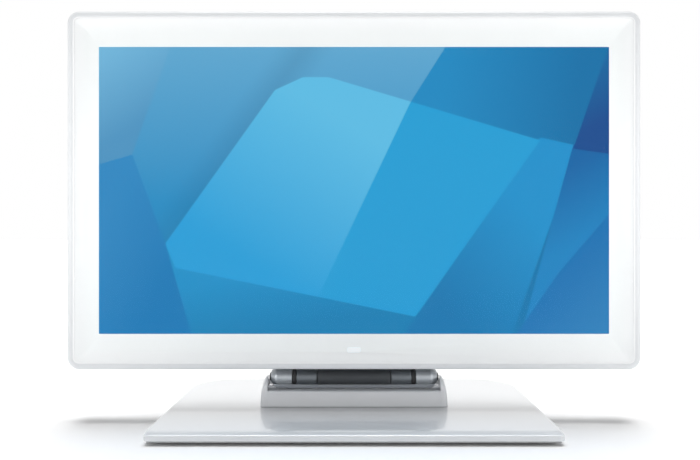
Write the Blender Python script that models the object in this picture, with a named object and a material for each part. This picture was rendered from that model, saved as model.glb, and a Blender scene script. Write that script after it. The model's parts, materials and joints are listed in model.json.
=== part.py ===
"""All-in-one touch computer: a wide display head on a barrel hinge, over a low pedestal and a flat base.

Sizes are in millimetres, and the meshes are made in metres. +X is to the right when facing the
screen, +Y points from the screen to the back and +Z is up. The origin is on the surface that the
computer stands on, under the middle of the base.
"""

import math

import bmesh
import bpy
from mathutils import Vector

MM = 0.001
GAP = 0.3  # clearance between touching pieces
ROUND_STEPS = 24  # sides of a round piece
SMALL_STEPS = 14  # sides of a screw, a post or a small hole

# Display head
HEAD_WIDTH = 386.0
HEAD_HEIGHT = 241.1
HEAD_BOTTOM = 36.6
HEAD_RADIUS = 8.0
HEAD_MIDDLE = HEAD_BOTTOM + HEAD_HEIGHT / 2
GLASS_FRONT = -32.5
GLASS_THICKNESS = 2.2
RIM = 4.3
WALL = 2.4
LEDGE_FRONT = -29.2
LEDGE_BACK = -26.0
LEDGE_INSET = 16.0
FRAME_BACK = -14.0
MODULE_WIDTH = 350.6
MODULE_HEIGHT = 205.6

# Rear cover and its raised box
SLIM_BACK = -8.0
RAISED_BACK = 7.5
RAISED_WIDTH = 264.0
RAISED_LOW = 84.0
RAISED_HIGH = 224.0
RAISED_RADIUS = 10.0

# Screws and the places they hold
SCREW_HOLE_RADIUS = 2.3
SCREW_RADIUS = 2.0
PATTERN_MIDDLE = 154.0
PATTERN_HALF = 37.5
LEAF_SCREW_X = 48.7
LEAF_SCREW_Z = 50.0
LEAF_HOLE_RADIUS = 1.8
COVER_SCREW_X = 150.0
COVER_SCREW_Z = 74.0
COVER_HOLE_RADIUS = 1.5

# Electronics
CHASSIS_FRONT = -23.9
CHASSIS_BACK = -22.5
BOARD_FRONT = -8.6
BOARD_BACK = -7.0
BOARD_CHIPS = [  # middle in X and Z, width, height and how far each stands off the board
    (-20, 96, 14, 8, 1.6),
    (4, 98, 6, 6, 2.4),
    (22, 146, 12, 12, 1.4),
    (40, 132, 8, 14, 3.0),
    (50, 98, 7, 7, 3.4),
    (96, 112, 10, 10, 1.4),
    (-56, 102, 8, 8, 1.2),
    (26, 166, 10, 4, 2.0),
]
FAN_X = 92.0
FAN_Z = 158.0
FAN_FRONT = -6.4
FAN_BACK = 4.6
FAN_HALF = 30.0
BLADE_CURVE = [(7.8, 0), (13.0, 9), (18.0, 22), (24.0, 42)]  # radius, and degrees round from the root

# Controls, speakers and status window in the head's lower edge
BUTTON_Y = -18.6
BUTTONS = {"power_button": 104.0, "menu_button": 92.0, "minus_button": 80.0, "plus_button": 68.0}
BUTTON_HOLE = (8.0, 4.2)
SPEAKER_X = 150.0
SPEAKER_SLOTS = 12
SPEAKER_PITCH = 4.5
SPEAKER_SLOT_HALF = 0.9
STATUS_Z = 49.5
STATUS_SIZE = (10.0, 4.6)

# Vent slots in the raised box
VENT_PITCH = 9.0
VENT_HALF = 1.3

# Connectors: middle in X, width, and height from the board
PORTS = {
    "video_port": (-74.0, 15.0, 5.6),
    "dc_jack": (-98.0, 10.0, 10.0),
    "ethernet_port": (74.0, 16.0, 11.2),
    "usb_port_a": (94.0, 13.2, 5.8),
    "usb_port_b": (112.0, 13.2, 5.8),
}
PORT_FRONT = BOARD_BACK + GAP
PORT_LOW = RAISED_LOW + GAP
PORT_DEPTH = 14.0

# Barrel hinge
HINGE_Y = -6.5
HINGE_Z = 27.3
BARREL_RADIUS = 7.3
PIN_RADIUS = 3.0
BORE_RADIUS = PIN_RADIUS + GAP
PIN_HALF = 59.3
CRADLE_INNER = 7.6
CRADLE_OUTER = 8.3
CRADLE_HALF = 56.0
LEAF_FRONT = -7.5
LEAF_BACK = -5.1

# Bent bracket behind the head
BRACKET_FRONT = RAISED_BACK + GAP
BRACKET_THICKNESS = 3.0
BRACKET_HALF = 54.5
BRACKET_TOP = 200.0
BRACKET_LOW = 38.5
PAD_HALF = 45.0
LEG_GAP_HALF = 42.0

# Stand
BASE_WIDTH = 254.0
BASE_DEPTH = 173.0
BASE_TOP = 8.0
BASE_UNDERSIDE = 2.8
BASE_FRONT_TOP = 6.6
BASE_SLOPE = 11.0
BASE_FRONT_RADIUS = 3.0
BASE_REAR_RADIUS = 34.0
HOLLOW_MIDDLE_Y = 3.0
HOLLOW_SIDE = 4.0
HOLLOW_END = 7.0
PLATE_LOW = 1.6
PLATE_HIGH = 2.5
FOOT_RADIUS = 9.0
FOOT_X = 88.0
FOOT_Y = 68.0
PEDESTAL_HALF = 60.0
PEDESTAL_FOOT = BASE_TOP + GAP
SADDLE_FRONT = 19.0
SADDLE_BACK = 24.0
SHOULDER_STEPS = [  # how far out, and the share of the depth and height left there
    (0.0, 1.0, 0.80),
    (1.6, 0.96, 0.72),
    (3.0, 0.91, 0.58),
    (4.2, 0.85, 0.38),
    (5.0, 0.79, 0.14),
]
STAND_SCREW_X = 40.0
STAND_SCREW_Y = 6.0

# Colour, roughness and metallic value of each finish
FINISHES = {
    "white_housing": ((0.84, 0.85, 0.86), 0.38, 0.0),
    "white_base": ((0.86, 0.87, 0.88), 0.22, 0.0),
    "cover_glass": ((0.92, 0.94, 0.95), 0.06, 0.0),
    "screen": ((0.06, 0.33, 0.66), 0.25, 0.0),
    "diffuser": ((0.90, 0.90, 0.88), 0.60, 0.0),
    "foam": ((0.05, 0.05, 0.05), 0.95, 0.0),
    "steel": ((0.60, 0.61, 0.62), 0.35, 1.0),
    "hinge_grey": ((0.20, 0.21, 0.23), 0.38, 1.0),
    "hinge_dark": ((0.05, 0.055, 0.06), 0.45, 0.0),
    "bracket_paint": ((0.80, 0.81, 0.82), 0.42, 0.0),
    "circuit_board": ((0.02, 0.16, 0.08), 0.45, 0.0),
    "chip": ((0.03, 0.03, 0.035), 0.50, 0.0),
    "copper": ((0.78, 0.42, 0.26), 0.30, 1.0),
    "aluminium": ((0.78, 0.79, 0.80), 0.32, 1.0),
    "black_plastic": ((0.03, 0.03, 0.03), 0.50, 0.0),
    "rubber": ((0.04, 0.04, 0.04), 0.90, 0.0),
    "dark_paint": ((0.12, 0.125, 0.13), 0.50, 0.0),
    "light_guide": ((0.90, 0.93, 0.95), 0.15, 0.0),
}


def clear_scene():
    for old in list(bpy.data.objects):
        bpy.data.objects.remove(old)


def finish(name):
    """The Principled material of one finish, made once."""
    if name in bpy.data.materials:
        return bpy.data.materials[name]
    colour, roughness, metallic = FINISHES[name]
    material = bpy.data.materials.new(name)
    material.use_nodes = True
    shader = material.node_tree.nodes["Principled BSDF"]
    shader.inputs["Base Color"].default_value = (*colour, 1.0)
    shader.inputs["Roughness"].default_value = roughness
    shader.inputs["Metallic"].default_value = metallic
    return material


# ---- outlines: lists of (u, v), counter-clockwise ----


def rectangle(u_low, v_low, u_high, v_high):
    return [(u_low, v_low), (u_high, v_low), (u_high, v_high), (u_low, v_high)]


def arc(centre, radius, start, end, steps):
    """Points from one angle to another, in degrees."""
    angles = [math.radians(start + (end - start) * step / steps) for step in range(steps + 1)]
    return [(centre[0] + radius * math.cos(a), centre[1] + radius * math.sin(a)) for a in angles]


def circle(centre, radius, steps=ROUND_STEPS):
    return arc(centre, radius, 0, 360, steps)[:-1]


def rounded(centre, width, height, radii, steps=5):
    """A rectangle with arcs at its corners, from the lower right corner round to the lower left."""
    outline = []
    for corner, (side, end) in enumerate([(1, -1), (1, 1), (-1, 1), (-1, -1)]):
        radius = radii[corner]
        middle = (centre[0] + side * (width / 2 - radius), centre[1] + end * (height / 2 - radius))
        outline += arc(middle, radius, 90 * corner - 90, 90 * corner, steps)
    return outline


def head_outline(inset):
    radius = max(HEAD_RADIUS - inset, 1.0)
    size = (HEAD_WIDTH - 2 * inset, HEAD_HEIGHT - 2 * inset)
    return rounded((0.0, HEAD_MIDDLE), *size, [radius] * 4)


def raised_outline(inset):
    radius = max(RAISED_RADIUS - inset, 1.0)
    size = (RAISED_WIDTH - 2 * inset, RAISED_HIGH - RAISED_LOW - 2 * inset)
    return rounded((0.0, PATTERN_MIDDLE), *size, [radius] * 4)


def base_outline(inset):
    front = max(BASE_FRONT_RADIUS - inset, 1.0)
    rear = BASE_REAR_RADIUS - inset
    size = (BASE_WIDTH - 2 * inset, BASE_DEPTH - 2 * inset)
    return rounded((0.0, 0.0), *size, [front, rear, rear, front], steps=8)


# ---- meshes ----


def on_axis(point, depth, axis):
    u, v = point
    return {"X": (depth, u, v), "Y": (u, depth, v), "Z": (u, v, depth)}[axis]


def stack(layers, axis, closed=False, mesh=None):
    """Skins outlines of equal length, each given as (outline, depth along the axis).

    An open stack is capped at both ends. A closed one joins its last outline to its first.
    """
    mesh = mesh or bmesh.new()
    rings = [[mesh.verts.new(on_axis(p, depth, axis)) for p in outline] for outline, depth in layers]
    neighbours = list(zip(rings, rings[1:]))
    if closed:
        neighbours.append((rings[-1], rings[0]))
    faces = []
    for ring, following in neighbours:
        for i, vertex in enumerate(ring):
            j = (i + 1) % len(ring)
            faces.append(mesh.faces.new((vertex, ring[j], following[j], following[i])))
    if not closed:
        faces.append(mesh.faces.new(rings[0][::-1]))
        faces.append(mesh.faces.new(rings[-1]))
    bmesh.ops.recalc_face_normals(mesh, faces=faces)
    return mesh


def slab(outline, low, high, axis, mesh=None):
    return stack([(outline, low), (outline, high)], axis, mesh=mesh)


def ring(outer, inner, low, high, axis):
    return stack([(outer, low), (outer, high), (inner, high), (inner, low)], axis, closed=True)


def block(low, high, mesh=None):
    return slab(rectangle(low[0], low[1], high[0], high[1]), low[2], high[2], "Z", mesh)


def turned(profile, axis, centre, bore=None, mesh=None, steps=ROUND_STEPS):
    """Turns (depth, radius) pairs round an axis, with a straight bore where one is given."""
    layers = [(circle(centre, radius, steps), depth) for depth, radius in profile]
    if bore:
        layers += [(circle(centre, bore, steps), depth) for depth in (profile[-1][0], profile[0][0])]
    return stack(layers, axis, closed=bool(bore), mesh=mesh)


def bores(places, radius, low, high, axis):
    """One cutter holding a cylinder at each place."""
    mesh = bmesh.new()
    for place in places:
        turned([(low, radius), (high, radius)], axis, place, mesh=mesh, steps=SMALL_STEPS)
    return mesh


def scaled_to_metres(mesh, origin):
    for vertex in mesh.verts:
        vertex.co = (vertex.co - origin) * MM


def add_part(name, mesh, finish_name, pivot=None, parent=None):
    """Makes a node from a mesh in millimetres, with its origin at its middle or at its joint's axis."""
    low = Vector([min(v.co[i] for v in mesh.verts) for i in range(3)])
    high = Vector([max(v.co[i] for v in mesh.verts) for i in range(3)])
    origin = Vector(pivot) if pivot else (low + high) / 2
    scaled_to_metres(mesh, origin)
    data = bpy.data.meshes.new(name)
    mesh.to_mesh(data)
    mesh.free()
    data.materials.append(finish(finish_name))
    part = bpy.data.objects.new(name, data)
    bpy.context.scene.collection.objects.link(part)
    part.location = origin * MM
    if parent:
        part.parent = parent
        part.location -= parent.location
    return part


def combine(part, mesh, operation):
    """Cuts a mesh from a part, or joins it on, with a Boolean modifier and a hidden helper."""
    place = Vector(part.location)
    if part.parent:
        place += part.parent.location
    scaled_to_metres(mesh, place / MM)
    data = bpy.data.meshes.new(part.name + "_helper")
    mesh.to_mesh(data)
    mesh.free()
    helper = bpy.data.objects.new(data.name, data)
    bpy.context.scene.collection.objects.link(helper)
    helper.parent = part
    helper.hide_render = True
    helper.display_type = "WIRE"
    modifier = part.modifiers.new(operation.lower(), "BOOLEAN")
    modifier.operation = operation
    modifier.solver = "EXACT"
    modifier.object = helper


def cut(part, mesh):
    combine(part, mesh, "DIFFERENCE")


def join(part, mesh):
    combine(part, mesh, "UNION")


def soften(part, width, segments=2):
    bevel = part.modifiers.new("bevel", "BEVEL")
    bevel.width = width * MM
    bevel.segments = segments
    bevel.limit_method = "ANGLE"
    bevel.angle_limit = math.radians(35)


def smooth(part, angle=40):
    part.data.shade_smooth()
    part.data.set_sharp_from_angle(angle=math.radians(angle))
    return part


# ---- stand ----


def base_cover():
    part = add_part("base_cover", slab(base_outline(0), BASE_UNDERSIDE, BASE_TOP, "Z"), "white_base")
    front = -BASE_DEPTH / 2
    drop = (BASE_TOP - BASE_FRONT_TOP) / BASE_SLOPE
    low_y = front - BASE_SLOPE
    high_y = front + 2 * BASE_SLOPE
    wedge = [
        (low_y, BASE_FRONT_TOP - drop * BASE_SLOPE),
        (high_y, BASE_TOP + drop * BASE_SLOPE),
        (high_y, 2 * BASE_TOP),
        (low_y, 2 * BASE_TOP),
    ]
    cut(part, slab(wedge, -BASE_WIDTH, BASE_WIDTH, "X"))
    soften(part, 1.0, 3)
    cut(part, slab(hollow_outline(0.0), 0.0, 6.0, "Z"))
    cut(part, bores(stand_screw_places(), SCREW_HOLE_RADIUS, 0, 12, "Z"))
    return smooth(part)


def hollow_outline(inset):
    size = (BASE_WIDTH - 2 * (HOLLOW_SIDE + inset), BASE_DEPTH - 2 * (HOLLOW_END + inset))
    radii = [3.0 - inset, 30.0 - inset, 30.0 - inset, 3.0 - inset]
    return rounded((0.0, HOLLOW_MIDDLE_Y), *size, radii)


def stand_screw_places():
    return [(side * STAND_SCREW_X, STAND_SCREW_Y) for side in (-1, 1)]


def base_weight():
    part = add_part("base_weight", slab(hollow_outline(1.0), PLATE_HIGH + GAP, 5.6, "Z"), "steel")
    cut(part, bores(stand_screw_places(), SCREW_HOLE_RADIUS, 0, 12, "Z"))


def base_bottom_plate():
    part = add_part("base_bottom_plate", slab(base_outline(1.6), PLATE_LOW, PLATE_HIGH, "Z"), "dark_paint")
    cut(part, bores(stand_screw_places(), SCREW_HOLE_RADIUS, 0, 4, "Z"))


def feet():
    for end, y in (("front", -FOOT_Y), ("rear", FOOT_Y)):
        for side, x in (("left", -FOOT_X), ("right", FOOT_X)):
            profile = [(0.0, FOOT_RADIUS - 0.6), (0.5, FOOT_RADIUS), (PLATE_LOW - GAP, FOOT_RADIUS)]
            smooth(add_part(f"foot_{end}_{side}", turned(profile, "Z", (x, y)), "rubber"))


def pedestal():
    """A saddle for the barrel, with a rounded shoulder past each end of it."""
    half = PEDESTAL_HALF + 0.5
    part = add_part("pedestal", slab(saddle_outline(), -half, half, "X"), "white_base")
    for side in (-1, 1):
        join(part, shoulder(side))
    cut(part, bores(stand_screw_places(), SCREW_HOLE_RADIUS, 4, 18, "Z"))
    return smooth(part, 50)


def saddle_outline():
    """A low front wall, the groove under the barrel, and a back that slopes down to the base."""
    groove = CRADLE_OUTER + GAP
    start = -90 - math.degrees(math.acos((HINGE_Z - SADDLE_FRONT) / groove))
    end = -math.degrees(math.asin((HINGE_Z - SADDLE_BACK) / groove))
    outline = [(-17.5, PEDESTAL_FOOT), (-16.9, 14.0), (-16.2, 17.8), (-15.2, SADDLE_FRONT)]
    outline += arc((HINGE_Y, HINGE_Z), groove, start, end, 12)
    outline += [(4.5, SADDLE_BACK), (8.0, 23.0), (24.0, 12.0), (27.0, PEDESTAL_FOOT)]
    return outline


def shoulder(side):
    """The pedestal's end: its outline gets lower and shallower as it runs outwards."""
    outline = [(-17.5, PEDESTAL_FOOT), (-17.0, 17.0)]
    outline += arc((HINGE_Y, 23.5), 9.7, 175, 5, 9)
    outline += [(8.0, 21.5), (24.0, 12.0), (27.0, PEDESTAL_FOOT)]
    layers = []
    for out, depth, height in SHOULDER_STEPS:
        ring_points = [
            (HINGE_Y + (y - HINGE_Y) * depth, PEDESTAL_FOOT + (z - PEDESTAL_FOOT) * height)
            for y, z in outline
        ]
        layers.append((ring_points, side * (PEDESTAL_HALF + out)))
    return stack(layers, "X")


def stand_screws():
    for side, (x, y) in zip(("left", "right"), stand_screw_places()):
        seat = PLATE_LOW - GAP
        profile = [(0.3, 3.6), (seat, 4.0), (seat, SCREW_RADIUS), (17.0, SCREW_RADIUS)]
        smooth(add_part(f"pedestal_screw_{side}", turned(profile, "Z", (x, y), steps=SMALL_STEPS), "steel"))


def hinge_cradle():
    """A thin half shell under the barrel, with slanted ends."""
    outer = arc((HINGE_Y, HINGE_Z), CRADLE_OUTER, -146, -34, 12)
    inner = arc((HINGE_Y, HINGE_Z), CRADLE_INNER, -34, -146, 12)
    part = add_part("hinge_cradle", slab(outer + inner, -CRADLE_HALF, CRADLE_HALF, "X"), "hinge_grey")
    for side in (-1, 1):
        end = side * (CRADLE_HALF + 2)
        inside = side * (CRADLE_HALF - 5)
        low = HINGE_Z - CRADLE_OUTER - 1
        corner = [(inside, low), (end, low), (end, low + 6)][::side]
        cut(part, slab(corner, -20, 5, "Y"))
    return smooth(part)


def barrel_pieces():
    """The fixed pieces along the pin, and the pin itself."""
    chamfer = BARREL_RADIUS - 0.4
    sleeve = [(25.9, chamfer), (26.3, BARREL_RADIUS), (39.8, BARREL_RADIUS), (40.2, chamfer)]
    washer = [(40.5, 6.6), (42.9, 6.6)]
    for side, sign in (("left", -1), ("right", 1)):
        barrel_piece(f"hinge_sleeve_{side}", sleeve, sign, "hinge_grey")
        barrel_piece(f"friction_washer_{side}", washer, sign, "black_plastic")
    cover = [(-25.6, 6.9), (-25.0, 7.2), (25.0, 7.2), (25.6, 6.9)]
    barrel_piece("hinge_center_cover", cover, 1, "hinge_dark")
    tip = PIN_RADIUS - 0.6
    pin = [(-PIN_HALF, tip), (0.6 - PIN_HALF, PIN_RADIUS), (PIN_HALF - 0.6, PIN_RADIUS), (PIN_HALF, tip)]
    smooth(add_part("hinge_pin", turned(pin, "X", (HINGE_Y, HINGE_Z)), "hinge_dark"))


def barrel_piece(name, profile, sign, look):
    """A bored ring on the pin, from a profile that runs outwards on the side that sign gives."""
    mirrored = [(sign * x, radius) for x, radius in profile]
    smooth(add_part(name, turned(mirrored, "X", (HINGE_Y, HINGE_Z), BORE_RADIUS), look))


# ---- tilting head ----


def knuckles(head):
    """The barrel's end pieces, each with a leaf that rises behind the head."""
    profile = [(43.2, 6.9), (43.6, BARREL_RADIUS), (54.0, BARREL_RADIUS), (58.2, 4.2)]
    for side, sign in (("left", -1), ("right", 1)):
        barrel = turned([(sign * x, radius) for x, radius in profile], "X", (HINGE_Y, HINGE_Z), BORE_RADIUS)
        part = add_part(f"hinge_knuckle_{side}", barrel, "hinge_grey", (0, HINGE_Y, HINGE_Z), head)
        inner, outer = sorted((sign * 43.6, sign * 53.8))
        join(part, slab(rectangle(inner, HINGE_Z + 5, outer, 59), LEAF_FRONT, LEAF_BACK, "Y"))
        cut(part, bores([(sign * LEAF_SCREW_X, LEAF_SCREW_Z)], LEAF_HOLE_RADIUS, -12, 0, "Y"))
        smooth(part)


def tilt_bracket(head):
    """A bent plate from the mounting pad down to the two leaves."""
    leg_front = LEAF_BACK + GAP
    bend_high = 80.0
    bend_low = 64.0
    front = [
        (BRACKET_FRONT, BRACKET_TOP),
        (BRACKET_FRONT, bend_high),
        (leg_front, bend_low),
        (leg_front, BRACKET_LOW),
    ]
    at_bend = 1.2  # the outer face turns this much lower than the inner one
    back = [
        (y + BRACKET_THICKNESS, z - (at_bend if z in (bend_high, bend_low) else 0.0))
        for y, z in reversed(front)
    ]
    plate = slab(front + back, -BRACKET_HALF, BRACKET_HALF, "X")
    part = add_part("tilt_bracket", plate, "bracket_paint", (0, HINGE_Y, HINGE_Z), head)
    for sign in (-1, 1):
        side = [(PAD_HALF, 210), (PAD_HALF, 100), (60, bend_high), (60, 210)]
        cut(part, slab([(sign * x, z) for x, z in side][::sign], -20, 20, "Y"))
    cut(part, slab(rounded((0.0, 46.0), 2 * LEG_GAP_HALF, 28.0, [4] * 4), -20, 20, "Y"))
    cut(part, block((-LEG_GAP_HALF, -20, 20), (LEG_GAP_HALF, 20, 42)))
    soften(part, 0.5, 1)
    cut(part, bores(pattern_places(), SCREW_HOLE_RADIUS, 0, 20, "Y"))
    leaf_places = [(sign * LEAF_SCREW_X, LEAF_SCREW_Z) for sign in (-1, 1)]
    cut(part, bores(leaf_places, LEAF_HOLE_RADIUS, -12, 0, "Y"))


def pattern_places():
    """The four mounting holes, on a square."""
    return [(x * PATTERN_HALF, PATTERN_MIDDLE + z * PATTERN_HALF) for z in (-1, 1) for x in (-1, 1)]


def cover_screw_places():
    return [(side * COVER_SCREW_X, COVER_SCREW_Z) for side in (-1, 1)]


def screw(name, place, head_y, tip_y, head_radius, shank_radius, parent):
    """A pan-head screw along Y with a cross recess, its head at the back."""
    profile = [
        (tip_y, shank_radius),
        (head_y, shank_radius),
        (head_y, head_radius),
        (head_y + 1.6, head_radius * 0.8),
    ]
    part = add_part(name, turned(profile, "Y", place, steps=SMALL_STEPS), "steel", parent=parent)
    x, z = place
    floor = head_y + 0.8
    top = head_y + 3.0
    arm = head_radius * 0.5
    thin = 0.4
    cut(part, block((x - arm, floor, z - thin), (x + arm, top, z + thin)))
    cut(part, block((x - thin, floor, z - arm), (x + thin, top, z + arm)))
    smooth(part)


def head_screws(head):
    for number, place in enumerate(pattern_places(), 1):
        seat = BRACKET_FRONT + BRACKET_THICKNESS + GAP
        screw(f"bracket_screw_{number}", place, seat, -4.0, 3.6, SCREW_RADIUS, head)
    leaf_seat = LEAF_BACK + GAP + BRACKET_THICKNESS + GAP
    for side, sign in (("left", -1), ("right", 1)):
        screw(f"leaf_screw_{side}", (sign * LEAF_SCREW_X, LEAF_SCREW_Z), leaf_seat, -7.4, 2.9, 1.5, head)
    for side, place in zip(("left", "right"), cover_screw_places()):
        screw(f"cover_screw_{side}", place, SLIM_BACK + GAP, -18.0, 2.4, 1.2, head)


def front_glass(head):
    back = GLASS_FRONT + GLASS_THICKNESS
    outline = head_outline(RIM + GAP)
    chamfered = head_outline(RIM + GAP + 0.4)
    layers = [(chamfered, GLASS_FRONT), (outline, GLASS_FRONT + 0.4), (outline, back)]
    smooth(add_part("front_glass", stack(layers, "Y"), "cover_glass", parent=head))


def glass_gasket(head):
    front = GLASS_FRONT + GLASS_THICKNESS + GAP
    strip = ring(head_outline(5.0), head_outline(9.5), front, front + 0.5, "Y")
    add_part("glass_gasket", strip, "foam", parent=head)


def front_frame(head):
    """The housing ring: a rounded rim, a ledge under the glass and a deep outer wall."""
    section = [
        (RIM, GLASS_FRONT + 0.3),
        (RIM - 0.6, GLASS_FRONT - 0.1),
        (1.3, GLASS_FRONT + 0.1),
        (0.4, GLASS_FRONT + 0.8),
        (0.0, GLASS_FRONT + 1.9),
        (0.0, FRAME_BACK),
        (WALL, FRAME_BACK),
        (WALL, LEDGE_BACK),
        (LEDGE_INSET, LEDGE_BACK),
        (LEDGE_INSET, LEDGE_FRONT),
        (RIM, LEDGE_FRONT),
    ]
    layers = [(head_outline(inset), y) for inset, y in section]
    part = add_part("front_frame", stack(layers, "Y", closed=True), "white_housing", parent=head)
    cut(part, lower_edge_openings())
    return smooth(part)


def lower_edge_openings():
    """Holes for the buttons, the speakers' slots, and the status window through the ledge."""
    mesh = bmesh.new()
    low = HEAD_BOTTOM - 3
    high = HEAD_BOTTOM + WALL + 1
    half_x = BUTTON_HOLE[0] / 2
    half_y = BUTTON_HOLE[1] / 2
    for x in BUTTONS.values():
        block((x - half_x, BUTTON_Y - half_y, low), (x + half_x, BUTTON_Y + half_y, high), mesh)
    first = SPEAKER_X - 26.0
    for side in (-1, 1):
        for slot in range(SPEAKER_SLOTS):
            x = side * (first + SPEAKER_PITCH * slot)
            block((x - SPEAKER_SLOT_HALF, -21.0, low), (x + SPEAKER_SLOT_HALF, -16.0, high), mesh)
    half_x = STATUS_SIZE[0] / 2 + GAP
    half_z = STATUS_SIZE[1] / 2 + GAP
    block((-half_x, LEDGE_FRONT - 2, STATUS_Z - half_z), (half_x, LEDGE_BACK + 2, STATUS_Z + half_z), mesh)
    return mesh


def rear_cover(head):
    """A slim shell that fits the frame, with a raised box in its middle over the electronics."""
    inner_back = RAISED_BACK - WALL
    inner_slim = SLIM_BACK - WALL
    layers = [
        (raised_outline(3.4), RAISED_BACK),
        (raised_outline(1.9), RAISED_BACK - 0.6),
        (raised_outline(1.0), RAISED_BACK - 2.0),
        (raised_outline(0.0), SLIM_BACK),
        (head_outline(4.6), SLIM_BACK),
        (head_outline(2.4), SLIM_BACK - 0.5),
        (head_outline(0.8), SLIM_BACK - 2.0),
        (head_outline(0.0), SLIM_BACK - 4.0),
        (head_outline(0.0), FRAME_BACK + GAP),
        (head_outline(WALL), FRAME_BACK + GAP),
        (head_outline(WALL), inner_slim - 2.0),
        (head_outline(WALL + 4.0), inner_slim),
        (raised_outline(WALL), inner_slim),
        (raised_outline(WALL + 1.0), inner_back),
    ]
    part = add_part("rear_cover", stack(layers, "Y"), "white_housing", parent=head)
    cut(part, vents())
    cut(part, port_holes())
    cut(part, bores(pattern_places(), SCREW_HOLE_RADIUS, 0, 12, "Y"))
    cut(part, bores(cover_screw_places(), COVER_HOLE_RADIUS, -14, -4, "Y"))
    return smooth(part)


def vents():
    """Slots in the raised box: a row over the bracket, two rows on each side of it, and a row on top."""
    mesh = bmesh.new()
    front = RAISED_BACK - 5
    back = RAISED_BACK + 4
    for slot in range(25):
        x = VENT_PITCH * (slot - 12)
        block((x - VENT_HALF, front, 204), (x + VENT_HALF, back, 216), mesh)
    for side in (-1, 1):
        for low in (138, 160):
            for slot in range(7):
                x = side * (63 + VENT_PITCH * slot)
                block((x - VENT_HALF, front, low), (x + VENT_HALF, back, low + 16), mesh)
    for slot in range(6):
        x = 70 + VENT_PITCH * slot
        block((x - VENT_HALF, -3.5, RAISED_HIGH - 6), (x + VENT_HALF, 3.0, RAISED_HIGH + 4), mesh)
    return mesh


def port_holes():
    """Openings in the raised box's lower wall, one round each connector."""
    mesh = bmesh.new()
    for x, width, height in PORTS.values():
        half = width / 2 + GAP
        low = (x - half, PORT_FRONT - GAP, RAISED_LOW - 4)
        high = (x + half, PORT_FRONT + height + GAP, RAISED_LOW + 6)
        block(low, high, mesh)
    return mesh


def ports(head):
    """Connectors that stand on the board and open downwards."""
    for name, (x, width, height) in PORTS.items():
        low = Vector((x - width / 2, PORT_FRONT, PORT_LOW))
        high = Vector((x + width / 2, PORT_FRONT + height, PORT_LOW + PORT_DEPTH))
        look = "black_plastic" if name == "dc_jack" else "steel"
        part = add_part(name, block(low, high), look, parent=head)
        middle = (x, PORT_FRONT + height / 2)
        if name == "dc_jack":
            cut(part, turned([(PORT_LOW - 2, 3.2), (PORT_LOW + 9.0, 3.2)], "Z", middle, 1.0))
            continue
        shell = 1.0 if name == "ethernet_port" else 0.5
        cut(part, block(low + Vector((shell, shell, -2.0)), high - Vector((shell, shell, 2.5))))
        if name != "ethernet_port":
            half = width / 2 - 1.6
            tongue_low = (x - half, middle[1] - 0.7, PORT_LOW + 0.8)
            tongue_high = (x + half, middle[1] + 0.7, PORT_LOW + 12.0)
            join(part, block(tongue_low, tongue_high))


def lcd_and_backlight(head):
    outline = rounded((0.0, HEAD_MIDDLE), MODULE_WIDTH, MODULE_HEIGHT, [1] * 4, steps=2)
    front = GLASS_FRONT + GLASS_THICKNESS + GAP
    add_part("lcd_panel", slab(outline, front, front + 2.0, "Y"), "screen", parent=head)
    light = slab(outline, front + 2.3, front + 5.5, "Y")
    part = add_part("backlight_unit", light, "diffuser", parent=head)
    recess = rounded((0.0, HEAD_MIDDLE), MODULE_WIDTH - 24, MODULE_HEIGHT - 24, [4] * 4, steps=3)
    cut(part, slab(recess, front + 5.0, front + 7.0, "Y"))


def chassis_plate(head):
    """The steel frame inside: a plate with stand-offs for the board, the cover and the bracket."""
    plate = slab(head_outline(5.6), CHASSIS_FRONT, CHASSIS_BACK, "Y")
    part = add_part("chassis_plate", plate, "steel", parent=head)
    cut_outs = bmesh.new()
    for side in (-1, 1):
        for z in (100.0, 214.0):
            slab(rounded((side * 150.0, z), 40.0, 56.0, [6] * 4, steps=3), -30, -20, "Y", cut_outs)
    cut(part, cut_outs)
    posts = bmesh.new()
    columns = [(place, 4.5, RAISED_BACK - WALL - GAP) for place in pattern_places()]
    columns += [(place, 3.5, SLIM_BACK - WALL - GAP) for place in cover_screw_places()]
    columns += [(place, 2.8, BOARD_FRONT - GAP) for place in board_corners()]
    for place, radius, top in columns:
        turned([(CHASSIS_FRONT + 0.5, radius), (top, radius)], "Y", place, mesh=posts, steps=SMALL_STEPS)
    join(part, posts)
    cut(part, bores(pattern_places(), SCREW_HOLE_RADIUS, -5, 12, "Y"))
    cut(part, bores(cover_screw_places(), COVER_HOLE_RADIUS, -19, -4, "Y"))
    smooth(part)


def board_corners():
    return [(-114.0, 104.0), (114.0, 104.0), (-114.0, 168.0), (54.0, 168.0)]


def motherboard(head):
    outline = [(-120, 87.6), (120, 87.6), (120, 122), (58, 122), (58, 173), (-120, 173)]
    board = slab(outline, BOARD_FRONT, BOARD_BACK, "Y")
    part = add_part("motherboard", board, "circuit_board", parent=head)
    clearance = [place for place in pattern_places() if place[1] < PATTERN_MIDDLE]
    cut(part, bores(clearance, 5.2, -12, 0, "Y"))
    chips = bmesh.new()
    front = BOARD_BACK - 0.4
    for x, z, width, height, tall in BOARD_CHIPS:
        low = (x - width / 2, front, z - height / 2)
        high = (x + width / 2, BOARD_BACK + tall, z + height / 2)
        block(low, high, chips)
    join(part, chips)


def card(name, low_x, low_z, width, height, chip_count, head):
    """A small plug-in board with a row of chips."""
    front = BOARD_BACK + 1.2
    outline = rectangle(low_x, low_z, low_x + width, low_z + height)
    part = add_part(name, slab(outline, front, front + 1.0, "Y"), "circuit_board", parent=head)
    chips = bmesh.new()
    pitch = width / chip_count
    for number in range(chip_count):
        x = low_x + pitch * (number + 0.15)
        low = (x, front + 0.6, low_z + height * 0.25)
        high = (x + pitch * 0.7, front + 2.2, low_z + height * 0.8)
        block(low, high, chips)
    join(part, chips)


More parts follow.
